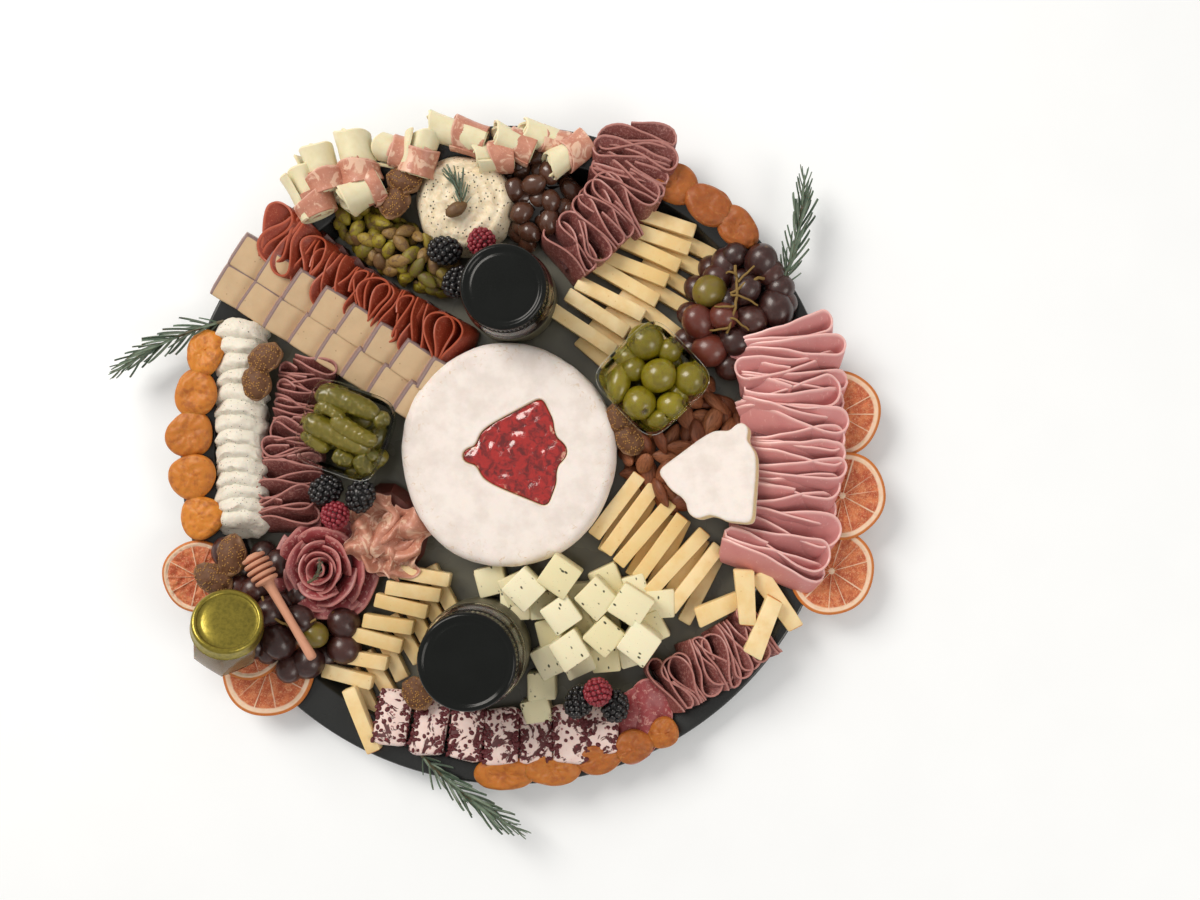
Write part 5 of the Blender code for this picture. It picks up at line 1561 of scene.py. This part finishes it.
# %% Nut shapes
def squashed(rounds, size, seed, flat=0, point=0, ridge=0, ridges=0):
    """A nut along X: uneven, flatter below, pointed at +X and with ridges along it."""
    body = ball(rounds)
    unit = body.points.copy()
    narrow = 1 - point * np.clip(unit[:, 0], 0, 1) ** 1.5 - 0.08 * np.clip(-unit[:, 0], 0, 1) ** 3
    unit[:, 1] *= narrow
    unit[:, 2] *= narrow * np.where(unit[:, 2] < 0, 1 - flat, 1)
    if ridges:
        around = np.arctan2(body.points[:, 2], body.points[:, 1])
        unit[:, 1:] *= 1 + ridge * (np.cos(ridges * around + 2 * np.sin(3 * body.points[:, 0] + seed)))[:,
                None]
    spots = body.points * 10 + seed * 13
    unit *= 1 + 0.06 * lumps(spots, 8, 95)[:, None] + 0.025 * lumps(spots, 3, 96)[:, None]
    body.points = unit * size
    body.marks = {"local": body.points + seed * 30}
    return body


def heap_of(node, shapes, spacing, seed, sinks, tilt):
    """Nuts laid over a heap in layers, each layer sunk deeper, with a core beneath."""
    rng = np.random.default_rng(seed)
    laid = []
    for layer, sink in enumerate(sinks):
        for hit, facing in spread(node, spacing, seed + layer):
            place = lying(hit, facing, rng, sink, tilt) @ Matrix.Scale(rng.uniform(0.88, 1.1), 4)
            nut = shapes[rng.integers(len(shapes))].placed(place, tone=rng.random(), pick=rng.random())
            nut.points[:, 2] += max(0, ON_FLOOR - nut.points[:, 2].min())
            laid.append(nut)
    return laid + [core(node, 0.84)]


pistachio = look = Finish("shelled pistachio", specular_ior_level=0.4)
where = look.local()
husk = look.grain(3.5, 4, 0.65, where, 0.8)
tone, pick = look.mark("tone"), look.mark("pick")
green = look.mix(tone, (0.38, 0.35, 0.07), (0.58, 0.52, 0.13))
brown = look.mix(tone, (0.40, 0.29, 0.18), (0.56, 0.44, 0.24))
look.colour = look.mix(look.step(pick, 0.52, 0.72), green, brown)
look.over(look.step(husk, 0.48, 0.60) * 0.75, (0.38, 0.27, 0.19))
look.over(look.step(look.grain(1.2, 3, 0.7, where), 0.6, 0.7) * 0.4, (0.66, 0.62, 0.30))
# Painted shade: the core between the kernels is painted near black.
look.over(look.mark("core"), (0.12, 0.09, 0.05))
look.paint(roughness=husk * 0.3 + 0.35, normal=look.relief(husk, 0.5, 0.8))
kernels = [squashed(3, (8.2, 4.9, 4.4), 1, 0.3, 0.25, 0.03, 3),
           squashed(3, (7.2, 4.5, 4.2), 2, 0.3, 0.3, 0.04, 2),
           squashed(3, (8.8, 4.6, 3.2), 3, 0.6, 0.25, 0.03, 3),
           squashed(3, (6.6, 4.7, 4.4), 4, 0.2, 0.2, 0.05, 4)]
piece("pistachio_kernels", joined(heap_of("pistachios", kernels, 8.6, 61, (1, 6), 18)), pistachio,
      "pistachio", "pistachios")

chocolate = look = Finish("chocolate coat", coat_roughness=0.06, soft=(0.05, 0.001))
sheen = look.grain(7, 3, 0.6)
look.colour = look.mix(look.mark("tone"), (0.24, 0.135, 0.095), (0.33, 0.205, 0.15))
# Painted shade: the core between the drops is painted near black.
look.over(look.mark("core"), (0.08, 0.045, 0.035))
look.paint(roughness=sheen * 0.2 + 0.16, coat_weight=sheen * 0.5 + 0.1, normal=look.relief(sheen, 0.4, 0.4))
drops = [squashed(4, (9.3, 7.4, 6.8), 5, 0.1, 0.1), squashed(4, (8.2, 7, 6.6), 6, 0.1, 0.05),
         squashed(4, (10, 7, 6.4), 7, 0.1, 0.15)]
piece("chocolate_drops", joined(heap_of("chocolate_almonds", drops, 13.5, 62, (2.5, 8.5), 12)), chocolate,
      "chocolate", "chocolate_almonds")

almond = look = Finish("almond skin", specular_ior_level=0.35)
where = look.local()
stretched = look.scaled(where, (0.25, 1, 1))
ribbing = look.grain(1.1, 3, 0.6, stretched)
look.colour = look.mix(look.mark("tone"), (0.46, 0.25, 0.16), (0.60, 0.37, 0.24))
look.over(look.step(ribbing, 0.45, 0.65) * 0.55, (0.30, 0.165, 0.11))
# Painted shade: the core between the nuts is painted near black.
look.over(look.mark("core"), (0.11, 0.06, 0.04))
look.paint(roughness=ribbing * 0.25 + 0.36, normal=look.relief(ribbing, 0.35, 0.9))
nuts = [squashed(4, (11.8, 6.4, 4.2), 8, 0.1, 0.42, 0.015, 11),
        squashed(4, (10.8, 6, 4.4), 9, 0.1, 0.4, 0.02, 9),
        squashed(4, (12.4, 6.6, 3.8), 10, 0.1, 0.45, 0.015, 12)]
piece("almond_nuts", joined(heap_of("almonds", nuts, 12.5, 63, (1, 6.5), 16)), almond, "almond", "almonds")

# %% [markdown]
# ## Grapes
# Dark grapes with a dull bloom, a few red and green ones among them, still on bits of woody stem. The
# large ones on top have fixed places, and smaller ones fill in below. A stem is a thin tube along a bent
# path with short side twigs.

# %% Grapes
grape = Finish("grape skin", coat_roughness=0.15, soft=(0.2, 0.004))
dust = grape.grain(6, 4, 0.65, grape.local())
pick = grape.mark("pick")
dark = grape.mix(grape.mark("tone"), (0.19, 0.09, 0.08), (0.28, 0.14, 0.115))
red_skin = grape.mix(grape.mark("tone"), (0.36, 0.15, 0.12), (0.42, 0.20, 0.15))
grape.colour = grape.mix(grape.step(pick, 0.60, 0.66), dark, red_skin)
grape.over(grape.step(pick, 0.90, 0.92), (0.47, 0.41, 0.13))
grape.over(grape.step(dust, 0.45, 0.75) * 0.35, (0.42, 0.32, 0.31))
# Painted shade: the core between the grapes is painted near black.
grape.over(grape.mark("core"), (0.06, 0.035, 0.03))
grape.over(grape.mark("scar"), (0.42, 0.30, 0.16))
grape.paint(roughness=dust * 0.3 + 0.2, coat_weight=dust * 0.3 + 0.1, normal=grape.relief(dust, 0.15, 0.5))


def grape_shape(radius, length, seed):
    body = ball(4)
    unit = body.points.copy()
    scar = np.clip(1 - np.hypot(unit[:, 1], unit[:, 2]) / 0.13, 0, 1) * (unit[:, 0] > 0)
    body.points = unit * (length, radius, radius) * (1 + 0.02 * lumps(unit * 10 + seed * 9, 8, 97)[:, None])
    body.marks = {"local": body.points + 30 * seed, "scar": np.clip(scar * 1.5, 0, 1)}
    return body


def tube(path, radius, around=8, taper=1):
    """A round stem along places in space."""
    path = np.array(path, float)
    way = np.gradient(path, axis=0)
    way /= np.maximum(np.linalg.norm(way, axis=1, keepdims=True), 1e-9)
    side = np.cross(way, [0, 0, 1])
    side /= np.maximum(np.linalg.norm(side, axis=1, keepdims=True), 1e-9)
    up = np.cross(side, way)
    turn = around_circle(around)
    wide = radius * np.linspace(1, taper, len(path))
    round_it = np.cos(turn)[:, None] * side[:, None] + np.sin(turn)[:, None] * up[:, None]
    return loft(path[:, None] + wide[:, None, None] * round_it)


def curve_3d(start, middle, end, count=12, wiggle=0, seed=0):
    start, middle, end = (np.array(p, float) for p in (start, middle, end))
    t = np.linspace(0, 1, count)[:, None]
    path = start * (1 - t) ** 2 + 2 * middle * t * (1 - t) + end * t ** 2
    return path + wiggle * bumps(path + seed * 60, 6, 98)


GRAPES = {"grapes_right": [(149, 131, 11, 0.2), (173, 132, 12, 0.3), (138, 112, 12, 0.95),
        (183, 100, 12.5, 0.1), (186, 114, 10, 0.4),
                           (130, 91, 11.5, 0.7), (138, 72, 12, 0.75), (152, 61, 10, 0.5),
        (147, 94, 10, 0.65), (162, 112, 10, 0.3),
                           (166, 92, 11, 0.2), (155, 78, 11, 0.5), (127, 74, 9, 0.6)],
          "grapes_left": [(-195, -67, 9.5, 0.3), (-185, -79, 11, 0.1), (-161, -106, 11, 0.4),
                          (-157, -127, 12, 0.2), (-139, -143, 12, 0.5),
                          (-115, -117, 11.5, 0.3), (-115, -134, 11.5, 0.15), (-133, -123, 9.5, 0.95),
                          (-174, -92, 10, 0.5),
                          (-148, -98, 10, 0.3), (-172, -112, 10, 0.45), (-142, -112, 10, 0.2)]}
for node, bunch in GRAPES.items():
    rng = np.random.default_rng(71)
    grapes = []
    for i, (x, y, r, kind) in enumerate(bunch):
        found = ground(node, x, y)
        z = (found[0].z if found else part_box(node)[1][2] / MM - 14) - r * 0.62
        place = at((x, y, max(z, tray_height(x, y) + r)), rng.uniform(0, 360), rng.uniform(-50, 30))
        grapes.append(grape_shape(r * 0.96, r * rng.uniform(1, 1.18), i).placed(place, tone=rng.random(),
                pick=kind))
    for hit, facing in spread(node, 17, 72):
        r = rng.uniform(8.5, 10)
        z = max(hit.z - 15, tray_height(hit.x, hit.y) + r)
        place = at((hit.x, hit.y, z), rng.uniform(0, 360), rng.uniform(-40, 40))
        grapes.append(grape_shape(r, r * 1.1, 5).placed(place, tone=rng.random(), pick=rng.uniform(0, 0.7)))
    piece(node + "_loose", joined(grapes + [core(node, 0.74, 12)]), grape, "grape", node)

stem_wood = look = Finish("grape stem", roughness=0.7)
bark = look.grain(2, 4, 0.7)
look.paint(base_color=look.mix(bark, (0.40, 0.31, 0.14), (0.58, 0.46, 0.22)), normal=look.relief(bark, 0.3))
TWIGS = [((174, 120, 37), (166, 119, 45), (151, 108, 42)), ((155, 128, 36), (158, 104, 48), (149, 82, 38)),
         ((151, 108, 42), (160, 106, 46), (170, 101, 40)), ((153, 100, 43), (146, 98, 46), (141, 100, 40)),
         ((156, 116, 42), (162, 122, 45), (167, 127, 42)), ((151, 92, 42), (158, 90, 44), (163, 84, 39)),
         ((150, 86, 41), (143, 84, 42), (138, 84, 36)), ((156, 121, 41), (150, 124, 44), (148, 122, 41))]
twigs = [tube(curve_3d(*twig, 12, 1.2, i), 1.1 if i < 2 else 0.8, 8, 0.8) for i, twig in enumerate(TWIGS)]
twigs += [tube(curve_3d((-166, -96, 36), (-160, -112, 41), (-147, -116, 37), 12, 1, 20), 0.9),
          tube(curve_3d((-150, -114, 38), (-142, -120, 40), (-130, -112, 36), 10, 1, 21), 0.8)]
piece("grape_stems", joined(twigs), stem_wood, "grape")

# %% [markdown]
# ## Dried apricots
# Each is a soft disc that dried in folds: a rolled edge, a hollow middle and fine wrinkles, half clear
# where light comes through. Folds come from noise stretched round the disc.

# %% Apricots
apricot = look = Finish("dried apricot", soft=(0.25, 0.004), specular_ior_level=0.4)
flesh = look.grain(6, 4, 0.6)
fold = look.grain(3.4, 3, 0.6, bent=0.6)
look.colour = look.mix(look.mark("tone"), (0.62, 0.34, 0.14), (0.80, 0.50, 0.16))
look.over(look.step(flesh, 0.45, 0.7) * 0.6, (0.54, 0.26, 0.10))
look.over(look.step(fold, 0.6, 0.75) * 0.4, (0.82, 0.58, 0.30))
look.paint(roughness=flesh * 0.3 + 0.35, normal=look.relief(fold, 0.5, 0.8))


def apricot_shape(half_x, half_y, half_z, seed):
    body = ball(5)
    unit = body.points.copy()
    out = np.hypot(unit[:, 0], unit[:, 1])
    around = np.arctan2(unit[:, 1], unit[:, 0])
    wide = 1 + 0.06 * np.sin(2 * around + seed) + 0.04 * np.sin(3 * around + 2 * seed)
    thick = np.sign(unit[:, 2]) * np.abs(unit[:, 2]) ** 0.75
    hollow = 1 - 0.4 * np.exp(-(out / 0.5) ** 2) * (0.6 + 0.4 * sin(seed))
    folds = 0.08 * lumps(xyz(around * 4, out * 5, unit[:, 2] * 4) + seed * 19, 1.6, 99)
    z = thick * hollow * half_z + folds * half_z * 2 * (out > 0.1)
    body.points = xyz(unit[:, 0] * wide * half_x, unit[:, 1] * wide * half_y, z)
    body.points[:, 2] += 1.4 * np.sin(unit[:, 0] * 2 + seed) * out
    return body


APRICOTS = {"top": [(114, 186, 17, 14), (137, 171, 17, 14), (157, 156, 16, 13)],
            "left": [(-208, 70, 16, 13), (-214, 42, 16, 15), (-219, 14, 16, 16), (-217, -15, 16, 16),
                     (-211, -43, 16, 14)],
            "bottom": [(-3, -218, 20, 13), (31, -215, 19, 12), (62, -208, 17, 11), (86, -200, 14, 11),
                       (106, -191, 12, 10)]}
for n, (side, places) in enumerate(APRICOTS.items()):
    fruits = []
    for i, (x, y, half_x, half_y) in enumerate(places):
        yaw = degrees(atan2(y, x)) + 90
        place = at((x, y, ON_RIM + 6.4 + 1.2 * (i % 2)), yaw, 5 * sin(3 * i), 6 * sin(2 * i + n))
        fruits.append(apricot_shape(half_x, half_y, 6, i + 7 * n).placed(place, tone=(0.15, 0.8, 0.35)[n]
                + 0.2 * sin(5 * i + n)))
    piece(f"apricot_fruits_{side}", joined(fruits), apricot, "apricot", f"apricots_{side}")

# %% [markdown]
# ## Dried citrus
# Thin slices of blood orange: an orange peel, a pale ring of pith, and about ten segments of ragged
# orange-red flesh that dried into ridges. The finish works from the slice's own coordinates, the angle
# for the segments and the radius for the peel, and the flesh is raised and hollowed in the mesh as well.

# %% Citrus
SEGMENTS, PITH_SHARE, PEEL_SHARE = 10, 0.86, 0.94
citrus = look = Finish("dried citrus", soft=(0.15, 0.002))
where = look.local()
radial = look.mark("radius")
spoke = look.mark("spoke")
vesicle = look.grain(1.6, 4, 0.7, where, 1.5)
pulp_tone = look.grain(6, 3, 0.6, where)
look.colour = look.mix(look.step(pulp_tone, 0.35, 0.68), (0.70, 0.30, 0.14), (0.83, 0.48, 0.29))
look.over(look.step(vesicle, 0.50, 0.64) * 0.7, (0.90, 0.68, 0.50))
look.over(look.step(vesicle, 0.42, 0.30) * 0.6, (0.58, 0.22, 0.10))
pith_colour = look.mix(look.grain(3, 3, 0.6, where), (0.95, 0.85, 0.75), (0.90, 0.76, 0.63))
look.over(look.step(spoke, 0.45, 0.8), pith_colour)
look.over(look.step(radial, PITH_SHARE - 0.04, PITH_SHARE), pith_colour)
peel_colour = look.mix(look.grain(1.5, 3), (0.82, 0.49, 0.18), (0.74, 0.39, 0.12))
look.over(look.step(radial, PEEL_SHARE - 0.02, PEEL_SHARE + 0.01), peel_colour)
look.paint(roughness=pulp_tone * 0.3 + 0.3, normal=look.relief(vesicle, 0.6, 0.9))


def citrus_slice(radius, seed):
    """A dried slice: rings from the middle out on top, round the peel and back below."""
    count = 200
    turn = around_circle(count)
    shares = np.concatenate([[0.02], np.linspace(0.06, 0.97, 34), [0.99, 1]])
    phase = (turn + 0.12 * np.sin(3 * turn + seed)) * SEGMENTS / (2 * pi)
    between = np.abs(phase % 1 - 0.5) * 2
    rings, radii, spokes = [], [], []
    for face in (1, -1):
        for share in shares if face > 0 else shares[::-1]:
            edge = between ** (2 + 11 * share)
            flesh = (share > 0.08) * (share < PITH_SHARE)
            rough = flesh * (1 - edge)
            wide = radius * share * (1 + 0.015 * np.sin(2 * turn + seed) + 0.01 * np.sin(5 * turn))
            flat = xyz(wide * np.cos(turn), wide * np.sin(turn), seed * 25)
            z = 1.7 * face * (1 - max(0, share - 0.96) * 12)
            z = z - face * rough * (0.8 + lumps(flat, 3.2, 101))
            rings.append(xyz(flat[:, 0], flat[:, 1], z + np.sin(turn * 2 + seed) * share))
            radii.append(np.full(count, share))
            spokes.append(np.maximum(edge, share < 0.07))
    shape = loft(np.array(rings), radius=np.array(radii), spoke=np.array(spokes))
    shape.marks["local"] = shape.points + (0, 0, 25 * seed)
    return shape


CITRUS = {"right": [(226, 28, 30), (229, -28, 30), (222, -80, 30)], "left": [(-214, -84, 25)],
          "bottom": [(-166, -148, 32), (-178, -127, 27)]}
for n, (side, places) in enumerate(CITRUS.items()):
    slices = [citrus_slice(r, i + 3 * n).placed(at((x, y, ON_RIM + 2.6 + 3.2 * (i % 2)), 40 * i)) for i,
              (x, y, r) in enumerate(places)]
    piece(f"citrus_slices_{side}", joined(slices), citrus, "citrus", f"citrus_{side}", crease=60)

# %% [markdown]
# ## Berries
# Each dark or red berry is a cluster of small round drupelets over a solid heart. They are set on a
# spiral that spaces them evenly, the way they grow. Noise on a smooth ball would only look like a dent.

# %% Berries
def berry_shape(half, beads, bead, seed):
    """Drupelets spaced over an oval, with a heart inside."""
    rng = np.random.default_rng(seed)
    small = ball(2)
    parts = [squashed(3, [h * 0.86 for h in half], seed)]
    for k in range(beads):
        z = 1 - 2 * (k + 0.5) / beads
        around = k * 2.39996 + rng.uniform(-0.08, 0.08)
        flat = sqrt(1 - z * z)
        spot = np.array([z, flat * cos(around), flat * sin(around)]) * (np.array(half) - bead * 0.55)
        parts.append(small.placed(at(spot, size=bead * rng.uniform(0.9, 1.12)), shine=1, tone=rng.random()))
    return joined(parts)


def berry_finish(name, deep, light, gap, gloss):
    finish = Finish(name, coat_roughness=0.1, soft=(0.1, 0.001))
    speck = finish.grain(1.2, 3, 0.6)
    colour = finish.mix(finish.mark("tone"), deep, light)
    # Painted shade: the heart, which shows only between the drupelets, takes the dark gap colour.
    finish.paint(base_color=finish.mix(finish.mark("shine"), gap, finish.mix(speck, colour, deep)),
                 roughness=speck * 0.2 + gloss,
                 coat_weight=finish.mark("shine") * 0.25, normal=finish.relief(speck, 0.1, 0.5))
    return finish


dark_berry = berry_finish("dark berry", (0.06, 0.05, 0.06), (0.10, 0.085, 0.095), (0.025, 0.02, 0.025), 0.2)
red_berry = berry_finish("red berry", (0.50, 0.10, 0.16), (0.62, 0.17, 0.22), (0.30, 0.03, 0.07), 0.4)
BERRIES = [[(-42, 138, 38), (-33, 117, 37), (-17, 144, 38)],
           [(-123, -24, 36), (-99, -28, 37), (-116, -41, 38)],
           [(49, -167, 38), (73, -170, 37), (62, -159, 47)]]
darks, reds, dark_nodes, red_nodes = [], [], [], []
for g, trio in enumerate(BERRIES):
    for i, spot in enumerate(trio):
        place = at(spot, 40 * i + 30 * g, 8 * sin(3 * i + g))
        if i < 2:
            darks.append(berry_shape((11.6, 9.4, 8.8), 58, 2.3, 10 * g + i).placed(place))
            dark_nodes.append(f"dark_berry_{g + 1}{'ab'[i]}")
        else:
            reds.append(berry_shape((9.4, 9.2, 8.8), 74, 1.75, 10 * g + i).placed(place))
            red_nodes.append(f"red_berry_{g + 1}")
piece("dark_berries", joined(darks), dark_berry, "dark_berry", *dark_nodes)
piece("red_berries", joined(reds), red_berry, "red_berry", *red_nodes)

# %% [markdown]
# ## Dried figs
# Torn dried figs: a wrinkled tan skin outside and a rough brown inside packed with tiny golden seeds.
# Each is a squashed ball whose upper side is torn open, with the seeds laid on it as real grains.

# %% Figs
fig = Finish("dried fig", soft=(0.05, 0.002))
wrinkle = fig.grain(2.5, 4, 0.7, fig.local(), 0.8)
skin_tone = fig.mix(wrinkle, (0.58, 0.43, 0.29), (0.44, 0.31, 0.20))
inside = fig.mix(fig.grain(1.4, 4, 0.7, fig.local()), (0.30, 0.18, 0.10), (0.46, 0.29, 0.15))
fig_colour = fig.mix(fig.mark("open"), skin_tone, inside)
fig.paint(base_color=fig.mix(fig.mark("seed"), fig_colour, (0.66, 0.48, 0.24)), roughness=wrinkle * 0.3
          + 0.45, normal=fig.relief(wrinkle, 0.7, 0.9))


def fig_shape(half, seed):
    rng = np.random.default_rng(seed + 300)
    body = ball(4)
    unit = body.points.copy()
    torn = np.clip((unit[:, 2] - 0.15 + 0.35 * lumps(unit * 10 + seed * 11, 5, 111)) * 3, 0, 1)
    spots = unit * 10 + seed * 11
    swell = 1 + 0.12 * lumps(spots, 5, 112) + 0.06 * lumps(spots, 2, 113)
    body.points = unit * half * swell[:, None]
    body.points[:, 2] -= torn * half[2] * 0.3
    body.marks = {"local": body.points + seed * 30, "open": torn}
    grain = ball(1)
    parts = [body]
    for k in rng.permutation(np.flatnonzero(torn > 0.7))[:70]:
        parts.append(grain.placed(at(body.points[k], rng.uniform(0, 360), size=(0.75, 0.5, 0.5)), seed=1))
    return joined(parts)


FIGS = {"top": [(-70, 187, 34), (-77, 172, 33)], "left": [(-165, 66, 33), (-171, 49, 32)],
        "centre": [(76, 26, 30), (83, 11, 29)], "lower": [(-186, -68, 38), (-199, -84, 37)],
        "bottom": [(-62, -163, 30)]}
for n, (side, places) in enumerate(FIGS.items()):
    half = (14.2, 9.8, 7.2) if side == "lower" else (12.2, 9.8, 8.2)
    figs = [fig_shape(half, 5 * n + i).placed(at(spot, 60 * i + 30 * n)) for i, spot in enumerate(places)]
    piece(f"fig_fruits_{side}", joined(figs), fig, "fig", f"figs_{side}", crease=60)

# %% [markdown]
# ## Rosemary
# Three sprigs lie over the rim. Each has a woody stem and whorls of narrow leaves: dark green above, grey
# below, longest in the middle of the sprig and crowded at its tip.

# %% Rosemary
rosemary = look = Finish("rosemary", roughness=0.55, soft=(0.05, 0.001))
vein = look.grain(2.5, 3, 0.6)
look.colour = look.mix(look.mark("tone"), (0.25, 0.33, 0.27), (0.38, 0.47, 0.38))
look.over(look.mark("under") * 0.7, (0.55, 0.60, 0.53))
look.over(look.step(vein, 0.4, 0.7) * 0.4, (0.19, 0.26, 0.21))
look.paint(base_color=look.mix(look.mark("stem"), look.colour, (0.36, 0.32, 0.22)),
           normal=look.relief(vein, 0.2, 0.5))


def leaf(length, width):
    """A narrow leaf along Z, rolled under at its edges, with its thickness in step with its width."""
    thick = width * 0.3
    rings, under = [], []
    for t in np.linspace(0, 1, 7):
        wide = width * (0.35 + 0.65 * sin(pi * min(1, t * 0.9 + 0.12)) ** 0.6) * (1 if t < 1 else 0.25)
        bow = 0.08 * length * t * t
        z = t * length
        rings.append([(-wide / 2, bow - thick, z), (0, bow + thick, z), (wide / 2, bow - thick, z),
                      (0, bow, z)])
        under.append([0.2, 0, 0.2, 1])
    return loft(rings, under=under)


LEAF = leaf(1, 0.1)
SPRIGS = {"right": ((186, 112, 26), (203, 188, 26)), "left": ((-196, 92, 25), (-266, 60, 25)),
          "bottom": ((-62, -204, 26), (4, -256, 26))}


def sprig_of(start, end, long, seed, whorls=14, lift=3):
    rng = np.random.default_rng(seed)
    start, end = np.array(start, float), np.array(end, float)
    side = np.cross(end - start, (0, 0, 1))
    middle = (start + end) / 2 + side / np.linalg.norm(side) * 6 + (0, 0, lift)
    path = curve_3d(start, middle, end, 40)
    parts = [tube(path, 1.1, 8, 0.5)]
    parts[0].marks["stem"] = np.ones(len(parts[0].points))
    for k in range(whorls):
        t = 0.06 + 0.94 * k / (whorls - 1)
        index = int(t * 39)
        way = Vector(path[min(index + 1, 39)] - path[max(index - 1, 0)]).normalized()
        turn = way.to_track_quat("Z", "Y").to_matrix().to_4x4()
        for j in range(4):
            open_out = radians(rng.uniform(26, 48) * (1.05 - 0.5 * t))
            spin = Matrix.Rotation(j * pi / 2 + k * 0.9 + rng.uniform(-0.2, 0.2), 4, "Z")
            size = long * rng.uniform(0.7, 1.1) * (0.75 + 0.45 * sin(pi * t)) * (0.8 if t > 0.9 else 1)
            place = Matrix.Translation(Vector(path[index])) @ turn @ spin @ Matrix.Rotation(open_out, 4,
                    "X") @ Matrix.Scale(size, 4)
            parts.append(LEAF.placed(place, tone=rng.random()))
    return joined(parts)


for n, (side, (start, end)) in enumerate(SPRIGS.items()):
    piece(f"rosemary_sprig_{side}", sprig_of(start, end, 20, 80 + n), rosemary, "herb", f"rosemary_{side}",
          crease=60)
piece("rosemary_garnish", sprig_of((-31, 165, 37.5), (-38, 189, 38.5), 13, 90, 8, 1.5), rosemary, "herb",
      crease=60)
piece("rose_garnish", sprig_of((-133, -86, 43), (-124, -72, 47), 5, 91, 7, 1), rosemary, "herb", crease=60)
piece("pistachio_garnish", kernels[0].placed(at((-34, 166, 38.5), 30), tone=0.1, pick=0.8), pistachio,
      "pistachio")
# %% [markdown]
# ## Finish
# The table under the tray is plain and pale.

# %% Table and its finish
table_top = Finish("table", roughness=0.7)
table_top.paint(base_color=table_top.mix(table_top.grain(60, 2), (0.95, 0.965, 0.98), (0.965, 0.98, 0.995)))
TABLE_HALF = 2500.0
table = bpy.data.meshes.new("table")
corners = [(-TABLE_HALF, -TABLE_HALF), (TABLE_HALF, -TABLE_HALF), (TABLE_HALF, TABLE_HALF),
           (-TABLE_HALF, TABLE_HALF)]
table.from_pydata([(x * MM, y * MM, -0.0002) for x, y in corners], [], [(0, 1, 2, 3)])
table.materials.append(table_top.material)
floor = bpy.data.objects.new("table", table)
bpy.context.collection.objects.link(floor)
